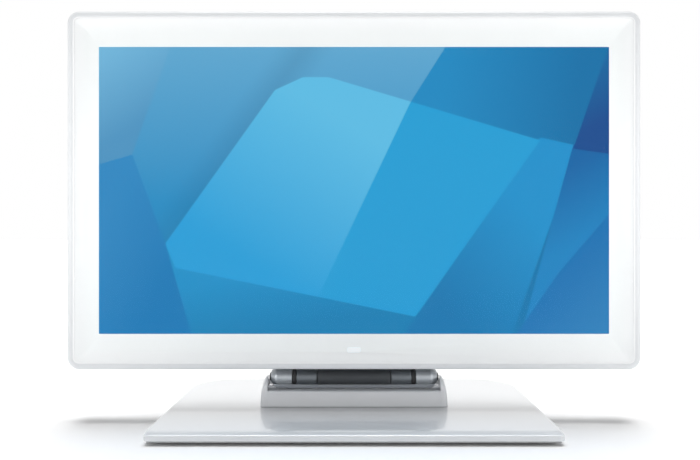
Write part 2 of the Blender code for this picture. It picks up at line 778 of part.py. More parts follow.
def cards(head):
    card("memory_module", -112.0, 112.0, 67.6, 30.0, 4, head)
    card("ssd_module", -112.0, 147.0, 80.0, 22.0, 3, head)
    card("wireless_card", 6.0, 104.0, 22.0, 17.0, 1, head)


def cmos_battery(head):
    profile = [(BOARD_BACK + GAP, 9.2), (BOARD_BACK + 1.2, 10.0), (BOARD_BACK + 3.5, 10.0)]
    smooth(add_part("cmos_battery", turned(profile, "Y", (-18.0, 111.5)), "steel", parent=head))


def processor(head):
    low = (-17.0, BOARD_BACK + GAP, 130.0)
    part = add_part("processor", block(low, (7.0, BOARD_BACK + 1.1, 154.0)), "chip", parent=head)
    join(part, block((-11.0, BOARD_BACK + 0.8, 136.0), (1.0, BOARD_BACK + 1.8, 148.0)))


def heat_pipe(head):
    """A cold plate over the processor and a flattened pipe that bends up to the fins."""
    path = [(-10, 138)] + arc((42, 146), 12.0, -90, 0, 5)
    path += arc((58, 195), 8.0, 180, 90, 5) + [(122, 203)]
    pipe = slab(offset_band(path, 4.0), -3.4, -0.4, "Y")
    part = add_part("heat_pipe", pipe, "copper", parent=head)
    plate = rounded((-5.0, 142.0), 36.0, 36.0, [2] * 4, steps=2)
    join(part, slab(plate, BOARD_BACK + 2.1, -3.2, "Y"))


def offset_band(path, half):
    """The outline of a band of constant width along a path."""
    normals = []
    for i in range(len(path)):
        before = Vector(path[max(i - 1, 0)])
        after = Vector(path[min(i + 1, len(path) - 1)])
        direction = (after - before).normalized()
        normals.append(Vector((-direction.y, direction.x)))
    left = [tuple(Vector(p) + n * half) for p, n in zip(path, normals)]
    right = [tuple(Vector(p) - n * half) for p, n in zip(path, normals)]
    return right + left[::-1]


def heat_sink(head):
    """A stack of fins over the fan's outlet, joined by two thin plates and open for the pipe."""
    low = (66.0, FAN_FRONT, 193.0)
    high = (120.0, FAN_BACK, 212.0)
    part = add_part("heat_sink", block(low, high), "aluminium", parent=head)
    air = bmesh.new()
    for gap in range(10):
        x = low[0] + 2.0 + 5.2 * gap
        block((x, low[1] + 0.8, low[2] - 1), (x + 3.6, high[1] - 0.8, high[2] + 1), air)
    cut(part, air)
    cut(part, block((low[0] - 1, -3.8, 198.6), (high[0] + 3, 0.0, 207.4)))


def fan(head):
    """A blower: a square housing with a round inlet and an outlet at the top, and its rotor."""
    low = (FAN_X - FAN_HALF, FAN_FRONT, FAN_Z - FAN_HALF)
    high = (FAN_X + FAN_HALF, FAN_BACK, FAN_Z + FAN_HALF)
    part = add_part("fan_housing", block(low, high), "black_plastic", parent=head)
    centre = (FAN_X, FAN_Z)
    inner_front = FAN_FRONT + 1.0
    inner_back = FAN_BACK - 1.0
    cut(part, turned([(inner_front, 26.5), (inner_back, 26.5)], "Y", centre))
    cut(part, block((FAN_X - 22, inner_front, FAN_Z), (FAN_X + 22, inner_back, FAN_Z + 34)))
    cut(part, turned([(2.0, 19.0), (8.0, 19.0)], "Y", centre))
    join(part, turned([(-5.8, 2.0), (-0.5, 2.0)], "Y", centre))
    smooth(part)
    fan_rotor(head)


def fan_rotor(head):
    pivot = (FAN_X, 0.0, FAN_Z)
    hub = turned([(-4.6, 8.6), (1.6, 8.6), (2.4, 7.8)], "Y", (FAN_X, FAN_Z), 2.4)
    rotor = add_part("fan_rotor", hub, "black_plastic", pivot, head)
    blades = bmesh.new()
    count = 11
    for number in range(count):
        turn = 360 * number / count
        path = [polar(radius, turn + lean) for radius, lean in BLADE_CURVE]
        slab(offset_band(path, 0.6), -4.2, 1.8, "Y", blades)
    join(rotor, blades)
    smooth(rotor)


def polar(radius, degrees):
    angle = math.radians(degrees)
    return (FAN_X + radius * math.cos(angle), FAN_Z + radius * math.sin(angle))


def touch_controller(head):
    board = block((-30, -21.9, 44), (30, -20.7, 62))
    part = add_part("touch_controller", board, "circuit_board", parent=head)
    chips = block((-8, -21.0, 48), (4, -19.5, 58))
    block((12, -21.0, 47), (24, -18.9, 53), chips)
    join(part, chips)


def speakers(head):
    for side, sign in (("left", -1), ("right", 1)):
        middle = sign * SPEAKER_X
        box = block((middle - 30, -21.8, 40.6), (middle + 30, -12.8, 62.0))
        part = add_part(f"speaker_{side}", box, "black_plastic", parent=head)
        cut(part, turned([(39.0, 3.9), (43.5, 2.6)], "Z", (middle, -17.3)))
        soften(part, 0.5, 1)


def status_light(head):
    outline = rounded((0.0, STATUS_Z), *STATUS_SIZE, [1.2] * 4, steps=2)
    add_part("status_light", slab(outline, -29.8, -24.3, "Y"), "light_guide", parent=head)


def button_board(head):
    board = block((60, -22.0, 44.0), (112, -15.2, 45.2))
    part = add_part("button_board", board, "circuit_board", parent=head)
    switches = bmesh.new()
    for x in BUTTONS.values():
        block((x - 2.4, BUTTON_Y - 2.0, 41.6), (x + 2.4, BUTTON_Y + 2.0, 44.6), switches)
    join(part, switches)


def buttons(head):
    """Caps in the head's underside, each kept in by a flange above the wall."""
    inside = HEAD_BOTTOM + WALL + GAP
    cap_low = HEAD_BOTTOM - 0.7
    for name, x in BUTTONS.items():
        cap = rounded((x, BUTTON_Y), 7.4, 3.6, [1.6] * 4, steps=3)
        tip = rounded((x, BUTTON_Y), 6.8, 3.0, [1.3] * 4, steps=3)
        flange = rounded((x, BUTTON_Y), 9.6, 5.6, [1.6] * 4, steps=3)
        layers = [(tip, cap_low), (cap, cap_low + 0.3), (cap, inside)]
        layers += [(flange, inside), (flange, inside + 0.8)]
        look = "dark_paint" if name == "power_button" else "bracket_paint"
        pivot = (x, BUTTON_Y, cap_low)
        smooth(add_part(name, stack(layers, "Z"), look, pivot, head))


def head_pivot():
    pivot = bpy.data.objects.new("head_pivot", None)
    pivot.location = Vector((0.0, HINGE_Y, HINGE_Z)) * MM
    bpy.context.scene.collection.objects.link(pivot)
    return pivot


def main():
    clear_scene()
    for build in (base_cover, base_weight, base_bottom_plate, feet, pedestal, stand_screws):
        build()
    hinge_cradle()
    barrel_pieces()
    head = head_pivot()
    for build in (
        knuckles,
        tilt_bracket,
        head_screws,
        front_glass,
        glass_gasket,
        front_frame,
        rear_cover,
        ports,
        lcd_and_backlight,
        chassis_plate,
        motherboard,
        cards,
        cmos_battery,
        processor,
        heat_pipe,
        heat_sink,
        fan,
        touch_controller,
        speakers,
        status_light,
        button_board,
        buttons,
    ):
        build(head)


main()
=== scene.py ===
"""The looks of the all-in-one touch computer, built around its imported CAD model.

Everything is in metres, in the CAD model's frame: +X is right facing the screen, +Y points from
the screen to the back, +Z is up, and the stand rests on z = 0. Sizes come from the CAD nodes.
"""

import json
import math

import bmesh
import bpy
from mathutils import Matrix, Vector


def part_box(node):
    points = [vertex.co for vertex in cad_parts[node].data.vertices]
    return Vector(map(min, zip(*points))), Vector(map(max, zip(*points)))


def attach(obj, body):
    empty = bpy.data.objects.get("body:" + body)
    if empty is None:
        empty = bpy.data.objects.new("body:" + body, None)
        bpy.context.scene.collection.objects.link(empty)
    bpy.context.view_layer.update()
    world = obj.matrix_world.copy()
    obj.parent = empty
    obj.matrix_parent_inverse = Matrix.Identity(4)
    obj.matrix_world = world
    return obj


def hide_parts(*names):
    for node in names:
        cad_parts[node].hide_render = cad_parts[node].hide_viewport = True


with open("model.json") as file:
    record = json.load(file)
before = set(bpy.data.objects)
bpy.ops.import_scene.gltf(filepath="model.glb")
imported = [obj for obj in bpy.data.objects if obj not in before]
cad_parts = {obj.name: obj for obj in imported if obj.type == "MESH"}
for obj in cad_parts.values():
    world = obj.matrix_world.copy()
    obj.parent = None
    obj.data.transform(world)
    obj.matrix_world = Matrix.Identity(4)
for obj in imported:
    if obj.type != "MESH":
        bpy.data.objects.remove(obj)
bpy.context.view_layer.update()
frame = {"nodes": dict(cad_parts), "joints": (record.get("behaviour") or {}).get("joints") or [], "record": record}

MM = 0.001
GAP = 0.3 * MM  # clearance between touching pieces
ROUND_STEPS = 64
CORNER_STEPS = 14
SHARP_ANGLE = 38  # degrees, from which an edge stays sharp in shading

# ---- nodes that are built in loops ----

BUTTONS = ("power_button", "menu_button", "minus_button", "plus_button")
PORTS = ("video_port", "dc_jack", "ethernet_port", "usb_port_a", "usb_port_b")

# ---- places taken from the CAD nodes ----

HEAD_LOW, HEAD_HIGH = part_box("front_frame")
GLASS_LOW, GLASS_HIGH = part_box("front_glass")
COVER_LOW, COVER_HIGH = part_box("rear_cover")
PANEL_LOW, PANEL_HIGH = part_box("lcd_panel")
BASE_LOW, BASE_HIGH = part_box("base_cover")
PEDESTAL_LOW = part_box("pedestal")[0]
CRADLE_LOW, CRADLE_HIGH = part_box("hinge_cradle")
BRACKET_LOW, BRACKET_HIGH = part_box("tilt_bracket")
HINGE = next(joint for joint in frame["joints"] if joint["name"] == "head_tilt")["pos_m"]

HEAD_SIZE = HEAD_HIGH - HEAD_LOW
HEAD_MIDDLE_Z = (HEAD_LOW.z + HEAD_HIGH.z) / 2
GLASS_INSET = GLASS_LOW.x - HEAD_LOW.x
BARREL_AXIS = (HINGE[1], HINGE[2])

# ---- sizes that the boxes do not give ----

HEAD_RADIUS = 8.0 * MM
WALL = 2.4 * MM
LEDGE_INSET = 16.0 * MM
PARTING_EDGE = ((0.0, 0.6 * MM), (0.15 * MM, 0.15 * MM), (0.6 * MM, 0.0))  # inset, fall
ACTIVE_WIDTH = 344.2 * MM
ACTIVE_HEIGHT = 193.6 * MM
SLIM_BACK = COVER_HIGH.y - 15.5 * MM
BOX_LOW = 84.0 * MM
BOX_HIGH = 224.0 * MM
BOX_WIDTH = 264.0 * MM
SLOT_WIDTH = 2.6 * MM
SLOT_PITCH = 9.0
SPEAKER_PITCH = 4.5
BASE_RADII = (3.0 * MM, 34.0 * MM)  # front corners, rear corners
PIN_BORE = 3.3 * MM
PATTERN_SCREWS = [(x * MM, z * MM) for x in (-37.5, 37.5) for z in (116.5, 191.5)]
LEAF_SCREWS = [(x * MM, 50 * MM) for x in (-48.7, 48.7)]
COVER_SCREWS = [(x * MM, 74 * MM) for x in (-150.0, 150.0)]
STAND_SCREWS = [(x * MM, 6 * MM) for x in (-40, 40)]
CLEAR_HOLE = 2.3 * MM
LEAF_HOLE = 1.8 * MM
COVER_HOLE = 1.5 * MM


# ---- node graphs ----


class Nodes:
    """A node tree, and short calls for the nodes that it repeats."""

    def __init__(self, tree):
        self.tree = tree

    def add(self, kind, **settings):
        node = self.tree.nodes.new(kind)
        for name, value in settings.items():
            setattr(node, name, value)
        return node

    def plug(self, value, socket):
        """Puts a number, a colour or another node's output into a socket."""
        if isinstance(value, bpy.types.NodeSocket):
            self.tree.links.new(value, socket)
        else:
            socket.default_value = value

    def maths(self, operation, a, b):
        node = self.add("ShaderNodeMath", operation=operation)
        self.plug(a, node.inputs[0])
        self.plug(b, node.inputs[1])
        return node.outputs[0]

    def ramp(self, value, low, high, to_low=0.0, to_high=1.0, smooth=False):
        kind = "SMOOTHSTEP" if smooth else "LINEAR"
        node = self.add("ShaderNodeMapRange", interpolation_type=kind, clamp=True)
        for index, item in enumerate((value, low, high, to_low, to_high)):
            self.plug(item, node.inputs[index])
        return node.outputs[0]


class Graph(Nodes):
    """A new material with its Principled shader, and the patterns that drive it."""

    def __init__(self, name, colour, roughness, metallic=0.0):
        self.material = bpy.data.materials.new(name)
        self.material.use_nodes = True
        super().__init__(self.material.node_tree)
        self.shader = self.tree.nodes["Principled BSDF"]
        self.set("Base Color", (*colour, 1.0))
        self.set("Roughness", roughness)
        self.set("Metallic", metallic)
        self.place = self.add("ShaderNodeTexCoord").outputs["Object"]

    def set(self, socket, value):
        self.shader.inputs[socket].default_value = value

    def drive(self, socket, value):
        self.plug(value, self.shader.inputs[socket])

    def mix(self, factor, a, b):
        node = self.add("ShaderNodeMix", data_type="RGBA")
        self.plug(factor, node.inputs[0])
        self.plug(a if isinstance(a, bpy.types.NodeSocket) else (*a, 1.0), node.inputs[6])
        self.plug(b if isinstance(b, bpy.types.NodeSocket) else (*b, 1.0), node.inputs[7])
        return node.outputs[2]

    def stretched(self, scale):
        node = self.add("ShaderNodeMapping")
        self.plug(self.place, node.inputs["Vector"])
        node.inputs["Scale"].default_value = scale
        return node.outputs[0]

    def grained(self, kind, grain, vector=None, **settings):
        """A pattern node whose features are about grain metres across."""
        node = self.add(kind, **settings)
        self.plug(vector or self.place, node.inputs["Vector"])
        node.inputs["Scale"].default_value = 1.0 / grain
        return node

    def noise(self, grain, detail=2.0, vector=None):
        node = self.grained("ShaderNodeTexNoise", grain, vector)
        node.inputs["Detail"].default_value = detail
        return node.outputs[0]

    def cells(self, grain):
        return self.grained("ShaderNodeTexVoronoi", grain).outputs["Distance"]

    def patches(self, grain, **settings):
        """Three random numbers that stay the same inside each cell."""
        node = self.grained("ShaderNodeTexVoronoi", grain, **settings)
        numbers = self.add("ShaderNodeSeparateColor")
        self.plug(node.outputs["Color"], numbers.inputs[0])
        return numbers.outputs

    def tone(self, pattern, first, last):
        self.drive("Base Color", self.mix(pattern, first, last))

    def gloss(self, pattern, low, high, to_low, to_high):
        self.drive("Roughness", self.ramp(pattern, low, high, to_low, to_high))

    def bump(self, height, depth):
        node = self.add("ShaderNodeBump")
        node.inputs["Distance"].default_value = depth
        self.plug(height, node.inputs["Height"])
        self.drive("Normal", node.outputs[0])

    def wave(self, axis, pitch):
        """A sine from 0 to 1 along an axis. The node's own scale is a twentieth of a radian."""
        node = self.add("ShaderNodeTexWave", wave_type="BANDS", bands_direction=axis)
        self.plug(self.place, node.inputs["Vector"])
        node.inputs["Scale"].default_value = 1.0 / pitch / 20 * 2 * math.pi
        return node.outputs[1]

    def dot(self, direction):
        node = self.add("ShaderNodeVectorMath", operation="DOT_PRODUCT")
        self.plug(self.place, node.inputs[0])
        node.inputs[1].default_value = direction
        return node.outputs["Value"]


def shades(colour, change):
    """A colour made darker and lighter by the same share."""
    return [tuple(min(1.0, c * share) for c in colour) for share in (1 - change, 1 + change)]


def plastic(name, colour, roughness, grain=0.35 * MM, depth=0.012 * MM, coat=0.0, blush=0.02):
    """Moulded plastic: a fine spark-eroded grain, and slow changes of tone and gloss."""
    g = Graph(name, colour, roughness)
    slow = g.noise(38 * MM, 3.0)
    fine = g.noise(grain, 2.0)
    g.tone(slow, *shades(colour, blush))
    both = g.maths("ADD", slow, g.maths("MULTIPLY", fine, 0.5))
    g.gloss(both, 0.3, 1.2, roughness * 0.85, roughness * 1.18)
    g.bump(fine, depth)
    if coat:
        g.set("Coat Weight", coat)
        g.set("Coat Roughness", 0.08)
        g.set("Coat IOR", 1.7)
    return g.material


def brushed_metal(name, colour, roughness, direction, depth=0.006 * MM):
    """Metal with fine lines along one axis, and duller spots where it is handled."""
    g = Graph(name, colour, roughness, 1.0)
    scale = [1.0, 1.0, 1.0]
    scale["XYZ".index(direction)] = 0.02
    lines = g.noise(0.16 * MM, 3.0, g.stretched(scale))
    blots = g.noise(9 * MM, 3.0)
    g.tone(lines, *shades(colour, 0.06))
    both = g.maths("ADD", blots, g.maths("MULTIPLY", lines, 0.4))
    g.gloss(both, 0.35, 1.1, roughness * 0.75, roughness * 1.35)
    g.bump(lines, depth)
    return g.material


def cast_metal(name, colour, roughness, metallic, grain, depth):
    """Die-cast or powder-coated metal: a pebbled grain, each pebble slightly lighter at its middle."""
    g = Graph(name, colour, roughness, metallic)
    pebbles = g.cells(grain)
    slow = g.noise(14 * MM, 3.0)
    g.tone(pebbles, tuple(c * 1.05 for c in colour), tuple(c * 0.93 for c in colour))
    g.gloss(slow, 0.3, 0.7, roughness * 0.85, roughness * 1.2)
    g.bump(pebbles, depth)
    return g.material


# ---- camera and lights ----

CAMERA_DISTANCE = 0.504
CAMERA_HEIGHT = 0.1257
CAMERA_LENS = 38.6
CAMERA_SHIFT = (-0.0057, 0.010)
SENSOR_WIDTH = 36.0

HORIZON_EDGE = 0.36
ZENITH_EDGE = 0.58
ZENITH_LIGHT = 0.16
FRONT_EDGE = -0.90
BACK_EDGE = 0.75
FRONT_LIGHT = 0.68
FLOOR_EDGE = 0.06
WALL_EDGE = 0.26
SUN_LIGHT = 2.75
SUN_ANGLE = 36
SUN_TILT = 6.5
CARD_LIGHT = 0.09
TOP_CARD_LIGHT = 0.022
CARD_SPREAD = 60
CARD_BACK = -0.34
CARD_AIM = -0.03


def show(name, data):
    """Adds an object to the scene."""
    made = bpy.data.objects.new(name, data)
    bpy.context.scene.collection.objects.link(made)
    return made


def camera():
    data = bpy.data.cameras.new("camera")
    data.sensor_width = SENSOR_WIDTH
    data.lens = CAMERA_LENS
    data.shift_x, data.shift_y = CAMERA_SHIFT
    data.clip_start = 0.01
    eye = show("camera", data)
    eye.location = (0.0, GLASS_LOW.y - CAMERA_DISTANCE, CAMERA_HEIGHT)
    eye.rotation_euler = (math.radians(90), 0.0, 0.0)
    bpy.context.scene.camera = eye


def card(name, place, target, size, power):
    """A lit rectangle in front of the computer, with a narrow beam."""
    data = bpy.data.lights.new(name, "AREA")
    data.shape = "RECTANGLE"
    data.size, data.size_y = size
    data.energy = power
    data.spread = math.radians(CARD_SPREAD)
    light = show(name, data)
    light.location = place
    light.rotation_euler = (Vector(target) - Vector(place)).to_track_quat("-Z", "Y").to_euler()


def studio():
    """A white room, brightest round the horizon and dimmer in front, under a high soft lamp."""
    scene = bpy.context.scene
    scene.view_settings.view_transform = "Standard"
    world = bpy.data.worlds.new("studio")
    world.use_nodes = True
    sky = Nodes(world.node_tree)
    parts = sky.add("ShaderNodeSeparateXYZ")
    sky.plug(sky.add("ShaderNodeTexCoord").outputs["Generated"], parts.inputs[0])
    height = parts.outputs["Z"]
    upward = sky.ramp(height, HORIZON_EDGE, ZENITH_EDGE, 1.0, ZENITH_LIGHT, smooth=True)
    depth = parts.outputs["Y"]
    missing = sky.ramp(depth, FRONT_EDGE, BACK_EDGE, 1.0 - FRONT_LIGHT, 0.0, smooth=True)
    lifted = sky.ramp(height, FLOOR_EDGE, WALL_EDGE, smooth=True)
    wall = sky.maths("SUBTRACT", 1.0, sky.maths("MULTIPLY", missing, lifted))
    background = sky.tree.nodes["Background"]
    background.inputs["Color"].default_value = (1.0, 1.0, 1.0, 1.0)
    sky.plug(sky.maths("MULTIPLY", upward, wall), background.inputs["Strength"])
    scene.world = world
    lamp = bpy.data.lights.new("overhead", "SUN")
    lamp.energy = SUN_LIGHT
    lamp.angle = math.radians(SUN_ANGLE)
    light = show("overhead", lamp)
    light.rotation_euler = (math.radians(-SUN_TILT), 0.0, 0.0)
    for name, side in (("left_card", -1), ("right_card", 1)):
        place = (side * 0.42, CARD_BACK, 0.17)
        card(name, place, (side * 0.19, CARD_AIM, 0.15), (0.14, 0.22), CARD_LIGHT)
    card("top_card", (0.0, CARD_BACK, 0.42), (0.0, CARD_AIM, 0.27), (0.36, 0.10), TOP_CARD_LIGHT)


# ---- outlines and meshes ----


def in_mm(points, sign=1):
    """Points given in millimetres, or their mirror image."""
    return [(sign * u * MM, v * MM) for u, v in points]


def arc(centre, radius, start, end, steps):
    angles = [math.radians(start + (end - start) * step / steps) for step in range(steps + 1)]
    return [(centre[0] + radius * math.cos(a), centre[1] + radius * math.sin(a)) for a in angles]


def circle(centre, radius, steps=ROUND_STEPS):
    return arc(centre, radius, 0, 360, steps)[:-1]


def rounded(centre, width, height, radii, steps=CORNER_STEPS):
    """A rectangle with arcs at its corners, counter-clockwise from the lower right one."""
    if isinstance(radii, float):
        radii = [radii] * 4
    outline = []
    for corner, (side, end) in enumerate([(1, -1), (1, 1), (-1, 1), (-1, -1)]):
        radius = radii[corner]
        middle = (centre[0] + side * (width / 2 - radius), centre[1] + end * (height / 2 - radius))
        outline += arc(middle, radius, 90 * corner - 90, 90 * corner, steps)
    return outline


def head_outline(inset):
    radius = max(HEAD_RADIUS - inset, 1.0 * MM)
    return rounded((0.0, HEAD_MIDDLE_Z), HEAD_SIZE.x - 2 * inset, HEAD_SIZE.z - 2 * inset, radius)


def on_axis(point, depth, axis):
    u, v = point
    return {"X": (depth, u, v), "Y": (u, depth, v), "Z": (u, v, depth)}[axis]


def stack(layers, axis, closed=False, mesh=None):
    """Skins (outline, depth) pairs of equal length. An open stack is capped at both ends."""
    mesh = mesh or bmesh.new()
    rings = [[mesh.verts.new(on_axis(p, depth, axis)) for p in outline]
             for outline, depth in layers]
    neighbours = list(zip(rings, rings[1:]))
    if closed:
        neighbours.append((rings[-1], rings[0]))
    faces = []
    for ring, following in neighbours:
        for i, vertex in enumerate(ring):
            j = (i + 1) % len(ring)
            faces.append(mesh.faces.new((vertex, ring[j], following[j], following[i])))
    if not closed:
        faces.append(mesh.faces.new(rings[0][::-1]))
        faces.append(mesh.faces.new(rings[-1]))
    bmesh.ops.recalc_face_normals(mesh, faces=faces)
    return mesh


def slab(outline, low, high, axis, mesh=None):
    return stack([(outline, low), (outline, high)], axis, mesh=mesh)


def slot(centre, size, radius, reach, axis, mesh, steps=5):
    """Adds a bar with rounded corners, for cutting a slot."""
    return slab(rounded(centre, *size, radius, steps), *reach, axis, mesh)


def middle(low, high, axes="xy"):
    """The middle of a box, seen along its third axis."""
    return tuple((getattr(low, axis) + getattr(high, axis)) / 2 for axis in axes)


def block(low, high, mesh=None):
    corners = [(low[0], low[1]), (high[0], low[1]), (high[0], high[1]), (low[0], high[1])]
    return slab(corners, low[2], high[2], "Z", mesh)


def turned(profile, axis, centre, bore=None, mesh=None, steps=ROUND_STEPS):
    """Turns (depth, radius) pairs round an axis, with a straight bore where one is given."""
    layers = [(circle(centre, radius, steps), depth) for depth, radius in profile]
    if bore:
        ends = (profile[-1][0], profile[0][0])
        layers += [(circle(centre, bore, steps), depth) for depth in ends]
    return stack(layers, axis, closed=bool(bore), mesh=mesh)


def bores(places, radius, reach, axis, mesh=None, steps=32):
    """Round bars for drilling a hole at each place."""
    mesh = mesh or bmesh.new()
    for place in places:
        turned([(depth, radius) for depth in reach], axis, place, mesh=mesh, steps=steps)
    return mesh


def rounding(radius, steps=6):
    """(inset, fall) pairs of a quarter round, from the side wall to the flat face."""
    angles = [math.radians(90 * step / steps) for step in range(steps + 1)]
    return [(radius * (1 - math.cos(a)), radius * (1 - math.sin(a))) for a in angles]


REPLACED = set()  # CAD nodes that a visible piece stands for


def mesh_data(name, mesh):
    data = bpy.data.meshes.new(name)
    mesh.to_mesh(data)
    mesh.free()
    return data


def piece(name, mesh, material, body, replaces=()):
    """Makes a visible piece from a mesh and gives it its body, slot and the nodes it stands for."""
    data = mesh_data(name, mesh)
    data.materials.append(material)
    data.shade_smooth()
    data.set_sharp_from_angle(angle=math.radians(SHARP_ANGLE))
    made = show(name, data)
    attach(made, body)
    if replaces:
        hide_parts(*replaces)
        REPLACED.update(replaces)
    return made


def combine(made, mesh, operation):
    """Runs one Boolean on a piece at once, with a helper that is then removed."""
    helper = show("helper", mesh_data("helper", mesh))
    modifier = made.modifiers.new("boolean", "BOOLEAN")
    modifier.operation = operation
    modifier.solver = "EXACT"
    modifier.object = helper
    settle(made)
    bpy.data.objects.remove(helper)


def settle(made):
    """Turns a piece's modifiers into its mesh."""
    graph = bpy.context.evaluated_depsgraph_get()
    graph.update()
    data = bpy.data.meshes.new_from_object(made.evaluated_get(graph))
    made.modifiers.clear()
    made.data = data


def join(made, mesh):
    combine(made, mesh, "UNION")


def soften(made, width, segments):
    """Rounds a piece's sharp edges and keeps its flat faces flat in shading."""
    bevel = made.modifiers.new("bevel", "BEVEL")
    bevel.width = width
    bevel.segments = segments
    bevel.limit_method = "ANGLE"
    bevel.angle_limit = math.radians(35)
    settle(made)
    even_shading(made)


def even_shading(made, angle=SHARP_ANGLE):
    made.data.shade_smooth()
    made.data.set_sharp_from_angle(angle=math.radians(angle))
    weighted = made.modifiers.new("weighted_normals", "WEIGHTED_NORMAL")
    weighted.keep_sharp = True


def carve(made, *meshes, angle=SHARP_ANGLE):
    """Cuts each mesh out of a piece in turn, and evens its shading."""
    for mesh in meshes:
        combine(made, mesh, "DIFFERENCE")
    even_shading(made, angle)


def cross_recess(centre, radius, low, high, axis):
    """Two bars for cutting a cross into a screw's head, between two depths along its axis."""
    bars = []
    arm = radius * 0.55
    thin = radius * 0.12
    for half_u, half_v in ((arm, thin), (thin, arm)):
        near = on_axis((centre[0] - half_u, centre[1] - half_v), low, axis)
        bars.append(block(near, on_axis((centre[0] + half_u, centre[1] + half_v), high, axis)))
    return bars


# ---- the finishes ----

WHITE_HOUSING = plastic("white_housing", (0.70, 0.715, 0.73), 0.42)
REAR_HOUSING = plastic("rear_housing", (0.60, 0.615, 0.63), 0.50, 0.7 * MM, 0.02 * MM)
WHITE_BASE = plastic("white_base", (0.72, 0.735, 0.75), 0.30, 0.5 * MM, 0.003 * MM, coat=1.0)
# The pedestal's white is greyer than the base's: painted shade for the shadow under the head.
PEDESTAL_SHADED_WHITE = plastic("pedestal_shaded_white", (0.66, 0.675, 0.70), 0.30, 0.5 * MM, 0.003 * MM, coat=0.6)
HINGE_GREY = brushed_metal("hinge_grey", (0.17, 0.185, 0.20), 0.36, "X")
KNUCKLE_GREY = brushed_metal("knuckle_grey", (0.46, 0.485, 0.51), 0.36, "X")
CRADLE_GREY = brushed_metal("cradle_grey", (0.66, 0.68, 0.71), 0.45, "X")
HINGE_DARK = cast_metal("hinge_dark", (0.055, 0.06, 0.066), 0.42, 0.4, 0.35 * MM, 0.008 * MM)
BRACKET_PAINT = cast_metal("bracket_paint", (0.50, 0.51, 0.525), 0.45, 0.0, 0.6 * MM, 0.02 * MM)
DARK_PAINT = cast_metal("dark_paint", (0.34, 0.345, 0.35), 0.55, 0.0, 0.6 * MM, 0.015 * MM)
SCREW_STEEL = brushed_metal("screw_steel", (0.56, 0.57, 0.58), 0.30, "Z")
BLACK_PLASTIC = plastic("black_plastic", (0.025, 0.025, 0.027), 0.50, 0.4 * MM, 0.015 * MM, blush=0.15)
RUBBER = plastic("rubber", (0.030, 0.030, 0.031), 0.85, 0.5 * MM, 0.03 * MM, blush=0.2)
BLUE_PLASTIC = plastic("blue_plastic", (0.02, 0.11, 0.42), 0.45, 0.4 * MM, 0.01 * MM, blush=0.1)
DARK_CAP = plastic("dark_cap", (0.085, 0.09, 0.095), 0.40, 0.25 * MM, 0.006 * MM, blush=0.08)
PALE_CAP = plastic("pale_cap", (0.62, 0.63, 0.64), 0.40, 0.25 * MM, 0.006 * MM)
SHELL_METAL = brushed_metal("shell_metal", (0.60, 0.60, 0.59), 0.26, "Z", 0.003 * MM)
GOLD = brushed_metal("gold_plating", (0.83, 0.62, 0.28), 0.22, "Z", 0.002 * MM)


# ---- the screen: a made-up picture of flat blue facets with a painted sheen, in the shader ----
# Places are shares of the lit area's width and height, and colours are screen colours to 255.

SHEET = [(0.13, 0.685), (0.345, 0.15), (0.40, 0.105), (0.45, 0.105), (0.865, 0.325), (0.62, 0.94)]
SHEET += [(0.15, 0.77), (0.13, 0.685)]
# Painted sheen: left of the sheen line the picture is lightened as a painted reflection of a light on the glass,
# most towards the top. The backdrop, top left facet and sheet left of the line show their own blue plus this
# painted sheen; right of the line the colours are the picture's own.
SHEET_FADE_UNDER_SHEEN = ((0.30, 0.75), (0.469, 0.25), (46, 160, 218), (97, 190, 230))
PAINTED_SHEEN_EDGE = [(0.43, 0.87), (0.61, 0.195), (0.69, -0.03)]
SHEET_FADE_PAST_SHEEN = ((0.6, 0.2), (0.7, 0.9), (42, 160, 214), (41, 158, 215))
BACKDROP_FADE_UNDER_SHEEN = ((0.20, 0.0), (0.20, 0.55), (98, 169, 210), (45, 142, 196))
TOP_LEFT = [(0.15, -0.05), (0.065, 0.375), (-0.02, 0.42)]
TOP_LEFT_FADE_UNDER_SHEEN = ((0.0, 0.02), (0.08, 0.27), (117, 184, 221), (82, 150, 195))
FACETS = (
    ([(-0.02, 0.42), (0.065, 0.375), (0.13, 0.685), (0.19, 1.05)],
     ((0.0, 0.62), (0.15, 0.76), (53, 138, 195), (33, 124, 185))),
    (PAINTED_SHEEN_EDGE, ((0.68, 0.10), (0.94, 0.14), (37, 139, 195), (28, 116, 171))),
    ([(0.19, 1.05), (0.13, 0.685), (0.66, 0.94), (0.60, 1.05)],
     ((0.28, 0.80), (0.30, 1.0), (38, 146, 202), (32, 130, 183))),
    ([(0.58, 1.05), (0.865, 0.315), (0.94, 0.345), (0.80, 1.05)],
     ((0.68, 0.91), (0.86, 0.62), (31, 122, 179), (38, 147, 206))),
    ([(0.82, 1.05), (0.93, 0.34), (1.05, 0.37)],
     ((0.90, 0.44), (0.965, 0.66), (29, 105, 169), (37, 135, 196))),
    ([(0.80, 1.05), (0.90, 0.79), (1.02, 0.54)],
     ((0.90, 0.78), (1.0, 0.97), (33, 117, 182), (53, 132, 190))),
    ([(1.05, 0.385), (0.93, 0.355), (0.995, 0.02)],
     ((0.93, 0.08), (0.985, 0.26), (29, 108, 165), (32, 80, 146))),
)


def spot(u, v):
    """A point of the lit area, as shares of its width and height from the top left."""
    left = -ACTIVE_WIDTH / 2
    top = HEAD_MIDDLE_Z + ACTIVE_HEIGHT / 2
    return (left + u * ACTIVE_WIDTH, top - v * ACTIVE_HEIGHT)


def across(start, end):
    """The direction to the right of the line from start to end, and the line's place along it."""
    x0, z0 = spot(*start)
    x1, z1 = spot(*end)
    length = math.hypot(x1 - x0, z1 - z0)
    direction = ((z1 - z0) / length, 0.0, -(x1 - x0) / length)
    return direction, direction[0] * x0 + direction[2] * z0


